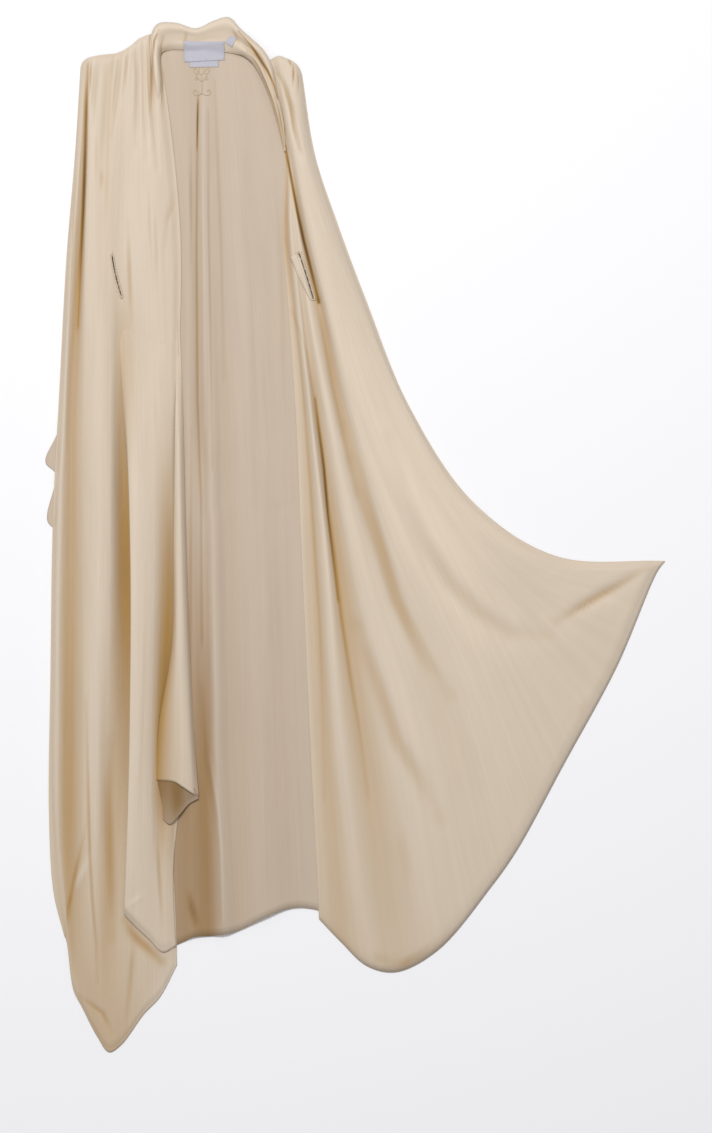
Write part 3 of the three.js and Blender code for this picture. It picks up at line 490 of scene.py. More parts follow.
LEFT_FRONT_FINE = [
    dict(crease="corner's line", columns=[650, 622, 595, 575, 556], rows=[568, 583, 598, 610, 622],
         depth=-1.4, width=5, painted_shading=0.2),
    dict(crease="upper wing shade", columns=[344, 362, 380, 402, 424], rows=[424, 480, 540, 610, 676],
         depth=-1.5, width=8, painted_shading=0.12),
    dict(crease="near the hem", columns=[578, 588], rows=[716, 700], depth=-1.2, width=4, painted_shading=0.15),
    dict(crease="main dark line", columns=[285, 288, 291.5, 297.5, 303.5, 311, 319],
         rows=[146, 162, 180, 212, 240, 270, 303],
         depth=-2.5, width=2.3, painted_shading=1.5, taper=0.3),
    dict(crease="below the slit", columns=[318.5, 325, 334, 345, 358], rows=[300, 340, 390, 440, 496],
         depth=-1.5, width=5, painted_shading=0.2, taper=0.6),
    dict(crease="folded edge", columns=[315, 319, 324, 328, 332, 338], rows=[398, 431, 468, 516, 549, 600],
         depth=-1, width=1.8, painted_shading=0.8, taper=0.5),
    dict(crease="second dark line", columns=[291, 307, 315, 322, 327, 335, 342, 351, 361, 369],
         rows=[310, 352, 400, 450, 500, 560, 620, 680, 740, 800],
         depth=-1.3, width=2.6, painted_shading=0.35, taper=0.8),
    dict(crease="first dark line", columns=[285, 291, 299, 303, 307, 311, 315, 319, 322, 325],
         rows=[236, 290, 350, 400, 450, 500, 560, 620, 700, 800], depth=-1.2, width=2.6, painted_shading=0.2, taper=0.8),
    dict(crease="light edge", columns=[298, 300, 303], rows=[440, 520, 640], depth=0.8, width=3, painted_shading=-0.15),
    dict(crease="hem roll", columns=[376, 391, 412, 433, 452], rows=[958, 962, 961, 950, 934],
         depth=-1, width=5, painted_shading=0.35, taper=0.5),
    dict(crease="low and faint", columns=[398, 405, 411], rows=[826, 860, 892], depth=-1, width=9, painted_shading=0.05),
    dict(crease="gather at the neck", columns=[287.5, 290, 292], rows=[59, 63, 68], depth=-1, width=1.8,
         painted_shading=0.7),
    dict(crease="gather at the shoulder", columns=[293.6, 293.7, 293.6], rows=[66, 75, 86],
         depth=-1.2, width=1.8, painted_shading=0.8),
    dict(crease="gather, thin", columns=[297.5, 298.5, 298.5], rows=[72, 82, 96], depth=-0.8, width=1.6,
         painted_shading=0.4),
    dict(crease="third fold of the neck", columns=[277, 286, 290, 292, 294, 300],
         rows=[74, 91, 104, 114, 129, 151],
         depth=-1.5, width=2.4, painted_shading=0.4, taper=0.5),
    dict(crease="long soft line", columns=[330, 352, 386, 430, 476], rows=[330, 400, 480, 580, 668],
         depth=-1.2, width=8, painted_shading=0.06),
    dict(crease="outer soft line", columns=[362, 392, 432, 486, 540], rows=[330, 412, 494, 572, 624],
         depth=-1.2, width=8, painted_shading=0.04),
]
COLLAR_FINE = [
    dict(crease="back of the neck", columns=[187, 186, 185], rows=[31, 38, 46], depth=-0.8, width=2,
         painted_shading=0.35),
    dict(crease="left fold, outer", columns=[160, 155, 153, 153], rows=[31, 42, 58, 84],
         depth=-1.5, width=2, painted_shading=0.7, taper=0.6),
    dict(crease="left fold, inner", columns=[164, 161.5, 161.5, 162], rows=[38, 48, 64, 92],
         depth=-1.2, width=2, painted_shading=0.5, taper=0.6),
    dict(crease="left fold's crest", columns=[160, 157.5, 157.5, 158], rows=[34, 48, 70, 96],
         depth=1.2, width=2.4, painted_shading=-0.3),
    dict(crease="roll's underside", columns=[166, 180, 196, 212, 228], rows=[42, 40.5, 42, 39, 38.5],
         depth=-0.8, width=4, painted_shading=0.15),
    dict(crease="first dark line", columns=[239, 246, 252, 260, 267.6, 272, 274.5, 278],
         rows=[33, 41, 48, 60, 72, 81, 88, 100], depth=-1.6, width=1.8, painted_shading=1.4, taper=0.35),
    dict(crease="inner line", columns=[247, 253.5, 259, 266, 273, 279, 284],
         rows=[53, 59.5, 68, 84, 102, 124, 148],
         depth=-1.2, width=1.6, painted_shading=0.9, taper=0.4),
    dict(crease="last fold", columns=[275, 279, 283, 286], rows=[98, 112, 132, 154], depth=-1, width=1.6,
         painted_shading=0.8),
    dict(crease="right dip", columns=[232, 236, 239], rows=[30, 37, 45], depth=-1, width=2.4, painted_shading=0.3),
]

# A spray of three buds, a stem and two curls, in couched cord.
MOTIF_BUDS = [
    dict(bud="middle", column=201.5, row=71, width=5, length=8, lean=0),
    dict(bud="left", column=195.8, row=71.5, width=3.6, length=6.5, lean=35),
    dict(bud="right", column=207.2, row=71.5, width=3.6, length=6.5, lean=-35),
    dict(bud="left knot", column=196.5, row=79, width=2.4, length=2.4, lean=0),
    dict(bud="right knot", column=206.5, row=79, width=2.4, length=2.4, lean=0),
]
MOTIF_STEMS = [
    dict(stem="stem", columns=[201.5, 202, 202.2, 201.8], rows=[75, 81, 88, 95]),
    dict(stem="left arm", columns=[201.8, 199, 197, 196.6], rows=[82, 79.5, 76.5, 74.5]),
    dict(stem="right arm", columns=[201.9, 204.5, 206.3, 206.8], rows=[82, 79.5, 76.5, 74.5]),
    dict(stem="left curl", columns=[201.9, 198.5, 194.8, 193.4, 195.2, 197.2],
         rows=[93, 95.5, 95, 92, 90.2, 92]),
    dict(stem="right curl", columns=[201.9, 205.4, 209.2, 210.6, 208.8, 206.8],
         rows=[93, 95.5, 95, 92, 90.2, 92]),
]
NECK_SEAMS = [
    dict(seam="left", columns=[164, 173, 183], rows=[49.4, 48.8, 48.4]),
    dict(seam="right", columns=[227, 237, 247.5], rows=[51.2, 53, 57.6]),
]


# ---------------------------------------------------------------- settings a user would change

def linear(hex_colour):
    """An sRGB hex colour as the linear RGBA that shaders take."""
    channels = [int(hex_colour[i : i + 2], 16) / 255 for i in (1, 3, 5)]
    return tuple(c / 12.92 if c <= 0.04045 else ((c + 0.055) / 1.055) ** 2.4 for c in channels) + (1.0,)


def colour_property(name, description, hex_colour):
    return bpy.props.FloatVectorProperty(
        name=name, description=description, subtype="COLOR", size=4, min=0, max=1, default=linear(hex_colour)
    )


class KaftanSizes(bpy.types.PropertyGroup):
    length: bpy.props.FloatProperty(
        name="Length", description="From the top of the collar to the tip of the longest fold",
        default=1.65, min=0.5, max=3, unit="LENGTH", subtype="DISTANCE",
    )
    cloth: bpy.props.FloatProperty(
        name="Cloth", description="Thickness of the satin as it shows at its edges",
        default=0.0011, min=0.0002, max=0.003, unit="LENGTH", subtype="DISTANCE",
    )
    collar_cloth: bpy.props.FloatProperty(
        name="Collar cloth", description="Thickness of the collar where it merges into the fronts",
        default=0.0005, min=0.0002, max=0.003, unit="LENGTH", subtype="DISTANCE",
    )
    slit_width: bpy.props.FloatProperty(
        name="Slit width", description="How far the hand slits stand open",
        default=0.0014, min=0.0005, max=0.02, unit="LENGTH", subtype="DISTANCE",
    )
    binding_width: bpy.props.FloatProperty(
        name="Binding width", description="Width of the strip round each hand slit",
        default=0.0026, min=0.001, max=0.02, unit="LENGTH", subtype="DISTANCE",
    )
    thread: bpy.props.FloatProperty(
        name="Thread", description="Diameter of the embroidery cord",
        default=0.0009, min=0.0002, max=0.003, unit="LENGTH", subtype="DISTANCE",
    )
    label: bpy.props.FloatProperty(
        name="Label", description="Thickness of the woven labels",
        default=0.0006, min=0.0002, max=0.003, unit="LENGTH", subtype="DISTANCE",
    )


class KaftanColours(bpy.types.PropertyGroup):
    satin: colour_property("Satin", "Smooth side of the satin", "#d5c5b0")
    # Satin back is the duller wrong side, and its darker, greyer tone is partly painted shade for the back
    # panel lying under the fronts.
    satin_back: colour_property("Satin back", "Matt wrong side of the satin", "#c6b5a1")
    # Fold, back fold and turned hem are colours of painted shade, which the cloth's own colour mixes towards
    # deep in a fold or a turned hem.
    fold: colour_property("Fold", "Light that comes through the cloth into a deep fold", "#b08a50")
    back_fold: colour_property("Back fold", "Shade in the folds of the wrong side", "#a08058")
    turned: colour_property("Turned hem", "Wrong side of the satin deep inside a hem", "#917249")
    thread: colour_property("Thread", "Embroidery and stitching", "#c8b38f")
    ribbon: colour_property("Ribbon", "Woven labels", "#bfbdc6")


# ---------------------------------------------------------------- drafting

def on_grid(columns, rows, rise=0):
    """Grid squares, and a height in millimetres, as points in metres."""
    square = bpy.context.scene.kaftan_sizes.length / LAYOUT_ROWS
    columns, rows = np.asarray(columns, float), np.asarray(rows, float)
    heights = np.broadcast_to(np.asarray(rise, float) * MM, columns.shape)
    return np.stack([(columns - CENTRE_COLUMN) * square, (CENTRE_ROW - rows) * square, heights], axis=-1)


def curve_points(control, steps):
    """A smooth curve through control points [n, ..., channels], with equal steps between each two.

    The first three channels are the place, and set the curve's pace. Others ride along.
    """
    before = 2 * control[:1] - control[1:2]
    after = 2 * control[-1:] - control[-2:-1]
    points = np.concatenate([before, control, after])
    gaps = np.linalg.norm(np.diff(points[..., :3], axis=0), axis=-1, keepdims=True)
    gaps = np.maximum(gaps, 1e-9) ** 0.5
    p0, p1, p2, p3 = points[:-3], points[1:-2], points[2:-1], points[3:]
    g0, g1, g2 = gaps[:-2], gaps[1:-1], gaps[2:]
    leave = ((p1 - p0) / g0 - (p2 - p0) / (g0 + g1) + (p2 - p1) / g1) * g1
    arrive = ((p2 - p1) / g1 - (p3 - p1) / (g1 + g2) + (p3 - p2) / g2) * g1
    pieces = []
    for step in range(steps):
        t = step / steps
        square, cube = t**2, t**3
        bend = (3 * (p2 - p1) - 2 * leave - arrive) * square
        pieces.append(p1 + leave * t + bend + (2 * (p1 - p2) + leave + arrive) * cube)
    body = np.stack(pieces, axis=1).reshape((-1,) + control.shape[1:])
    return np.concatenate([body, control[-1:]])


def crease_relief(points, creases):
    """Height and painted shading that soft troughs and ridges add, each fading out at its ends."""
    rise = np.zeros(points.shape[:-1])
    shading_amount = np.zeros(points.shape[:-1])
    for crease in creases:
        path = on_grid(crease["columns"], crease["rows"])[:, :2]
        nearest = np.full(rise.shape, np.inf)
        share = np.zeros(rise.shape)
        for i, (start, end) in enumerate(zip(path[:-1], path[1:])):
            run = end - start
            t = np.clip(((points[..., :2] - start) @ run) / (run @ run), 0, 1)
            distance = np.linalg.norm(points[..., :2] - start - t[..., None] * run, axis=-1)
            closer = distance < nearest
            nearest = np.where(closer, distance, nearest)
            share = np.where(closer, (i + t) / (len(path) - 1), share)
        fade = np.sin(np.pi * np.clip(share, *FADE_ENDS)) ** crease.get("taper", 1)
        strength = fade * np.exp(-((nearest / (crease["width"] * MM)) ** 2))
        rise += crease["depth"] * MM * strength
        # Painted shade along the crease, and a painted highlight where its number is below 0.
        shading_amount += crease.get("painted_shading", 0) * strength
    return rise, shading_amount


def drafted(lines, stations, along, across, creases=()):
    """A net [rows, columns, 4] over a panel's lines: place, height, and how much shade or highlight is
    painted there.
    """
    control = []
    for line in lines:
        rows = line.get("rows") or [line["top"] + (line["hem"] - line["top"]) * share for share in stations]
        painted_shading = line.get("painted_shading", [0] * len(rows))
        control.append(np.column_stack([on_grid(line["columns"], rows, line["rise"]), painted_shading]))
    drawn = curve_points(np.stack(control, axis=1), along)
    net = curve_points(drawn.transpose(1, 0, 2), across).transpose(1, 0, 2)
    rise, shading_amount = crease_relief(net, creases)
    net[..., 2] += rise
    heights = net[..., 2]
    over, down = min(LEVEL_REACH[0], heights.shape[1] // 3), min(LEVEL_REACH[1], len(heights) // 3)
    level = blurred(blurred(heights, over, 1), down, 0)
    # Painted shade from height: a place lower than the level round it is painted darker, and a crest is
    # painted paler.
    net[..., 3] += shading_amount + np.clip((level - heights) / DEEP_FOLD, CREST_SHADE, VALLEY_SHADE)
    return net


def blurred(heights, reach, axis):
    """Heights averaged over a reach of rows or columns, with the ends held."""
    kernel = np.hanning(2 * reach + 3)[1:-1]
    kernel /= kernel.sum()
    padded = np.pad(heights, [(reach, reach) if i == axis else (0, 0) for i in range(2)], mode="edge")
    return np.apply_along_axis(lambda line: np.convolve(line, kernel, mode="valid"), axis, padded)


class Surface:
    """The highest of some nets over any place, and the shade or highlight painted there."""

    def __init__(self, nets):
        points, faces, shading_amounts = [], [], []
        for net in nets:
            rows, columns = net.shape[:2]
            index = np.arange(rows * columns).reshape(rows, columns) + len(points)
            quads = np.stack([index[:-1, :-1], index[1:, :-1], index[1:, 1:], index[:-1, 1:]], axis=-1)
            faces += quads.reshape(-1, 4).tolist()
            points += net[..., :3].reshape(-1, 3).tolist()
            shading_amounts += net[:-1, :-1, 3].reshape(-1).tolist()
        self.tree = BVHTree.FromPolygons(points, faces)
        self.shading_amounts = shading_amounts

    def at(self, x, y):
        place, _, face, _ = self.tree.ray_cast((x, y, 1), (0, 0, -1))
        return (-1, 0) if place is None else (place.z, self.shading_amounts[face])

    def height(self, x, y):
        return self.at(x, y)[0]


def seated(net, surface, clearance, reach):
    """The net, lifted wherever it would touch what it lies on."""
    net = net.copy()
    steps = (-reach, 0, reach)
    for point in net.reshape(-1, net.shape[-1]):
        heights = [surface.height(point[0] + dx, point[1] + dy) for dx in steps for dy in steps]
        point[2] = max(point[2], max(heights) + clearance)
    return net


def emerging(net, under):
    """Lets a folded layer grow out of the cloth under it over the first share of its length."""
    surface = Surface(under)
    grown = round(len(net) * EMERGING)
    for row, section in enumerate(net[:grown]):
        t = row / grown
        share = t * t * (3 - 2 * t)
        for point in section:
            height, shading_amount = surface.at(point[0], point[1])
            seat = max(height - SUNK * MM, LOWEST_FACE * MM)
            point[2] = seat + (point[2] - seat) * share
            # The painted shade blends in from the cloth under it too.
            point[3] = shading_amount + (point[3] - shading_amount) * share
    return net


def shoulder_rolled(net):
    """Rolls a front's top edge down to the back panel, where the shoulder seam joins the two."""
    between = [net[:1] + (net[1:2] - net[:1]) * share for share in SHOULDER_ROWS]
    net = np.concatenate([net[:1], *between, net[1:]])
    fall = np.cumsum(np.linalg.norm(np.diff(net[..., :3], axis=0), axis=-1), axis=0)
    turned = np.clip(fall / (SHOULDER_ROLL * MM), 0, 1)
    round_share = np.concatenate([np.zeros((1, net.shape[1])), np.sqrt(1 - (1 - turned) ** 2)])
    low = LOWEST_FACE * MM
    net[..., 2] = low + (net[..., 2] - low) * round_share
    return net


def edge_distance(net, hems):
    """How far each point of a net lies from the hemmed edges: its foot, left or right side."""
    steps_down = np.linalg.norm(np.diff(net[..., :3], axis=0), axis=-1)
    steps_over = np.linalg.norm(np.diff(net[..., :3], axis=1), axis=-1)
    distance = np.full(net.shape[:2], 1.0)
    if "foot" in hems:
        from_foot = np.cumsum(steps_down[::-1], axis=0)[::-1]
        distance[:-1] = np.minimum(distance[:-1], from_foot)
        distance[-1] = 0
    if "left" in hems:
        distance[:, 1:] = np.minimum(distance[:, 1:], np.cumsum(steps_over, axis=1))
        distance[:, 0] = 0
    if "right" in hems:
        distance[:, :-1] = np.minimum(distance[:, :-1], np.cumsum(steps_over[:, ::-1], axis=1)[:, ::-1])
        distance[:, -1] = 0
    return distance


def lowered_edges(net, hems, under):
    """Lets a panel's or a layer's edges down on the floor, or on the cloth that they lie over."""
    surface = Surface(under)
    cloth = bpy.context.scene.kaftan_sizes.cloth + EDGE_AIR * MM
    along = np.clip(edge_distance(net, hems) / (EDGE_FALL * MM), 0, 1)
    kept = along * along * (3 - 2 * along)
    steps = (-FOOTING, 0, FOOTING)
    for row, column in zip(*np.where(kept < 1)):
        point = net[row, column]
        beneath = max(surface.height(point[0] + dx, point[1] + dy) for dx in steps for dy in steps)
        seat = min(max(beneath, 0) + cloth, point[2])
        point[2] = seat + (point[2] - seat) * kept[row, column]
    return net


@lru_cache
def back_net():
    net = drafted(BACK_LINES, BACK_STATIONS, along=22, across=17, creases=BACK_CREASES)
    net[..., 2] = np.maximum(net[..., 2], 0) + WALL * MM
    return net


@lru_cache
def right_front_nets():
    creases = SHOULDER_GATHERS + RIGHT_FRONT_FINE
    lower = drafted(RIGHT_FRONT_LINES, FRONT_STATIONS, along=23, across=17, creases=creases)
    lower = lowered_edges(shoulder_rolled(lower), ("foot", "left", "right"), [back_net()])
    middle = emerging(
        drafted(MIDDLE_LAYER_LINES, LAYER_STATIONS, along=26, across=14, creases=MIDDLE_LAYER_FINE), [lower]
    )
    middle = lowered_edges(middle, ("foot", "right"), [back_net(), lower])
    inner = emerging(drafted(INNER_LAYER_LINES, LAYER_STATIONS, along=22, across=12), [lower, middle])
    turned_hem = drafted(TURNED_HEM_LINES, [], along=10, across=10)
    return [lower, middle, inner, turned_hem]


@lru_cache
def left_front_net():
    creases = LEFT_FRONT_CREASES + LEFT_FRONT_FINE
    net = drafted(LEFT_FRONT_LINES, [], along=34, across=18, creases=creases)
    return lowered_edges(shoulder_rolled(net), ("foot", "left", "right"), [back_net()])


@lru_cache
def collar_net():
    net = drafted(COLLAR_LINES, [], along=14, across=10, creases=COLLAR_FINE)
    under = Surface([back_net(), right_front_nets()[0], left_front_net()])
    clearance = bpy.context.scene.kaftan_sizes.collar_cloth + COLLAR_GAP * MM
    net = seated(net, under, clearance, COLLAR_FOOTING)
    # Both ends of the band run into the fronts, so they sink to the face of the cloth there.
    sink = np.clip(1 - np.arange(len(net)) / COLLAR_END_ROWS, 0, 1) * COLLAR_END * MM
    net[..., 2] -= (sink + sink[::-1])[:, None]
    return net


def patch_net(corners, surface, clearance, steps=24):
    """A four-cornered patch, its corners given from top left clockwise, laid over a surface."""
    top_left, top_right, bottom_right, bottom_left = on_grid(corners["columns"], corners["rows"])
    down = np.linspace(0, 1, steps + 1)[:, None, None]
    over = np.linspace(0, 1, steps + 1)[None, :, None]
    left = top_left + (bottom_left - top_left) * down
    right = top_right + (bottom_right - top_right) * down
    net = np.concatenate([left + (right - left) * over, np.zeros((steps + 1, steps + 1, 1))], axis=-1)
    net = seated(net, surface, clearance, LABEL_FOOTING)
    # A woven label is stiffer than satin, so it bridges the small folds under it.
    net[..., 2] = np.maximum(net[..., 2], blurred(blurred(net[..., 2], 3, 0), 3, 1))
    return net


@lru_cache
def label_nets():
    clearance = bpy.context.scene.kaftan_sizes.label + LABEL_GAP
    care = patch_net(CARE_LABEL, Surface([back_net()]), clearance)
    neck = patch_net(NECK_LABEL, Surface([back_net(), collar_net(), care]), clearance)
    tab = patch_net(SIZE_TAB, Surface([collar_net()]), clearance)
    return dict(care_label=care, neck_label=neck, size_tab=tab)


def slit_path(slit, steps=8):
    """Middle line of a slit in plan, and its sideways direction at each point."""
    path = curve_points(on_grid(slit["columns"], slit["rows"]), steps)[:, :2]
    run = np.gradient(path, axis=0)
    run /= np.linalg.norm(run, axis=1, keepdims=True)
    return path, run


def slit_loop(slit, distance, share):
    """A closed loop round a slit at one distance from it, and at a share of its facing's width."""
    path, run = slit_path(slit)
    side = np.stack([-run[:, 1], run[:, 0]], axis=1)
    widths = slit["facing"]
    facing = np.interp(np.linspace(0, len(widths) - 1, len(path)), range(len(widths)), widths)
    near = distance + share * facing[:, None] * MM
    turns = np.linspace(0, np.pi, 9)[1:-1, None]
    reach = near[0] + (distance - near[0]) * turns / np.pi
    head = path[0] - reach * np.cos(turns) * side[0] - distance * np.sin(turns) * run[0]
    reach = near[-1] + (distance - near[-1]) * turns[::-1] / np.pi
    foot = path[-1] + reach * np.cos(turns) * side[-1] + distance * np.sin(turns) * run[-1]
    return np.concatenate([path - near * side, foot[::-1], (path + distance * side)[::-1], head[::-1]])


# ---------------------------------------------------------------- meshes

def add_object(name, mesh, materials):
    for material in materials:
        mesh.materials.append(material)
    piece = bpy.data.objects.new(name, mesh)
    bpy.context.scene.collection.objects.link(piece)
    return piece


def mesh_of(name, bm):
    mesh = bpy.data.meshes.new(name)
    bm.to_mesh(mesh)
    bm.free()
    mesh.polygons.foreach_set("use_smooth", [True] * len(mesh.polygons))
    return mesh


def grid_mesh(name, nets, hems=(), finishes=None):
    """One mesh of a grid for each net, with UVs in metres of cloth, the shade and highlight painted on it,
    and its hem distance.
    """
    bm = bmesh.new()
    bm.loops.layers.uv.new("cloth")
    for net in nets:
        rows, columns = net.shape[:2]
        bmesh.ops.create_grid(bm, x_segments=columns - 1, y_segments=rows - 1, size=1, calc_uvs=True)
    mesh = mesh_of(name, bm)
    corner_points = np.empty(len(mesh.loops), int)
    mesh.loops.foreach_get("vertex_index", corner_points)
    place, cloth_uv, painted_shading, hem, finish = [], [], [], [], []
    for number, net in enumerate(nets):
        # The operator numbers a grid from its lowest row up, and a net runs from its top row down.
        upright = net[::-1]
        place.append(upright[..., :3].reshape(-1, 3))
        run = np.linalg.norm(np.diff(upright[..., :3], axis=1), axis=-1).mean(axis=0)
        drop = np.linalg.norm(np.diff(upright[..., :3], axis=0), axis=-1).mean(axis=1)
        u = np.concatenate([[0], np.cumsum(run)])
        v = np.concatenate([[0], np.cumsum(drop)])
        cloth_uv.append(np.stack(np.meshgrid(u, v), axis=-1).reshape(-1, 2))
        # Painted shade and painted highlight, held between the palest and the darkest.
        painted_shading.append(np.clip(upright[..., 3], PALEST, DARKEST).reshape(-1))
        hem.append(edge_distance(net, hems)[::-1].reshape(-1))
        finish.append(np.full((net.shape[0] - 1) * (net.shape[1] - 1), (finishes or [0] * len(nets))[number]))
    mesh.vertices.foreach_set("co", np.concatenate(place).astype(np.float32).reshape(-1))
    uvs = np.concatenate(cloth_uv)[corner_points]
    mesh.uv_layers["cloth"].data.foreach_set("uv", uvs.astype(np.float32).reshape(-1))
    for attribute, values in (("painted_shading", painted_shading), ("hem", hem)):
        layer = mesh.attributes.new(attribute, "FLOAT", "POINT")
        layer.data.foreach_set("value", np.concatenate(values).astype(np.float32))
    mesh.polygons.foreach_set("material_index", np.concatenate(finish))
    mesh.update()
    return mesh


def open_slit(mesh, slit, distance):
    """Takes out the faces over a slit. Its binding covers the edge that this leaves."""
    path, _ = slit_path(slit)
    bm = bmesh.new()
    bm.from_mesh(mesh)
    low, high = path.min(axis=0) - 10 * MM, path.max(axis=0) + 10 * MM
    opened = []
    for face in bm.faces:
        centre = face.calc_center_median()
        if low[0] < centre.x < high[0] and low[1] < centre.y < high[1]:
            if np.linalg.norm(path - (centre.x, centre.y), axis=1).min() < distance:
                opened.append(face)
    bmesh.ops.delete(bm, geom=opened, context="FACES")
    bm.to_mesh(mesh)
    bm.free()


def cloth_wall(piece, thickness):
    """Gives a sheet its thickness downwards, its other side in the next of the piece's materials."""
    wall = piece.modifiers.new("wall", "SOLIDIFY")
    wall.thickness = thickness
    wall.offset = -1
    wall.material_offset = 1
    wall.use_quality_normals = True


def add_strand(bm, path, radii, sides=6):
    """Adds a round strand along a path that lies about level. It closes where its radius is 0."""
    run = np.gradient(path, axis=0)
    run /= np.linalg.norm(run, axis=1, keepdims=True)
    side = np.cross(run, (0, 0, 1))
    side /= np.linalg.norm(side, axis=1, keepdims=True)
    lift = np.cross(side, run)
    turn = np.linspace(0, 2 * np.pi, sides + 1)[None, :, None]
    radii = np.asarray(radii)[:, None, None]
    skin = path[:, None] + radii * (np.cos(turn) * side[:, None] + np.sin(turn) * lift[:, None])
    made = bmesh.ops.create_grid(bm, x_segments=sides, y_segments=len(path) - 1, size=1)
    for vert, place in zip(made["verts"], skin.reshape(-1, 3)):
        vert.co = place


def strands_mesh(name, strands, radius):
    """One mesh of many strands, each a path that swells from a point at both of its ends."""
    bm = bmesh.new()
    for path in strands:
        path = np.asarray(path)
        radii = np.full(len(path), radius)
        radii[[0, -1]] = 0
        radii[[1, -2]] = radius * 0.75
        add_strand(bm, path, radii)
    bmesh.ops.remove_doubles(bm, verts=bm.verts, dist=radius * 0.02)
    bmesh.ops.recalc_face_normals(bm, faces=bm.faces)
    return mesh_of(name, bm)


def laid_thread(columns, rows, surface, lift, steps=6):
    """A thread through grid squares, laid on a surface."""
    path = curve_points(on_grid(columns, rows), steps)
    for point in path:
        point[2] = surface.height(point[0], point[1]) + lift
    return path


def stitches_along(points, surface, length, gap, lift):
    """Short stitches along a path in plan, each arched over the cloth."""
    points = np.asarray(points)[:, :2]
    reach = np.concatenate([[0], np.cumsum(np.linalg.norm(np.diff(points, axis=0), axis=1))])
    stitches = []
    for start in np.arange(gap, reach[-1] - length, length + gap):
        shares = start + length * np.linspace(0, 1, 5)
        x, y = np.interp(shares, reach, points[:, 0]), np.interp(shares, reach, points[:, 1])
        arch = lift * np.array([-0.4, 0.8, 1, 0.8, -0.4])
        heights = np.array([surface.height(a, b) for a, b in zip(x, y)]) + arch
        stitches.append(np.stack([x, y, heights], axis=-1))
    return stitches


def declare(piece, *nodes, slot=None):
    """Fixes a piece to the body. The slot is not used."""
    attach(piece, BODY)
    if nodes:
        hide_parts(*nodes)


# ---------------------------------------------------------------- materials

def add_node(material, kind, links=None, **settings):
    """Adds a shader node, sets its sockets and properties, and links sockets to it."""
    node = material.node_tree.nodes.new(kind)
    for name, value in settings.items():
        socket = node.inputs.get(name.replace("_", " "))
        if socket is not None:
            socket.default_value = value
        else:
            setattr(node, name, value)
    for name, source in (links or {}).items():
        target = node.inputs[name]
        material.node_tree.links.new(source, target)
    return node


def new_material(name):
    material = bpy.data.materials.new(name)
    material.use_nodes = True
    material.node_tree.nodes.clear()
    return material


def remapped(material, source, low, high, to_low, to_high):
    """A value stretched from one range to another."""
    node = add_node(
        material, "ShaderNodeMapRange", {"Value": source},
        From_Min=low, From_Max=high, To_Min=to_low, To_Max=to_high,
    )
    return node.outputs[0]


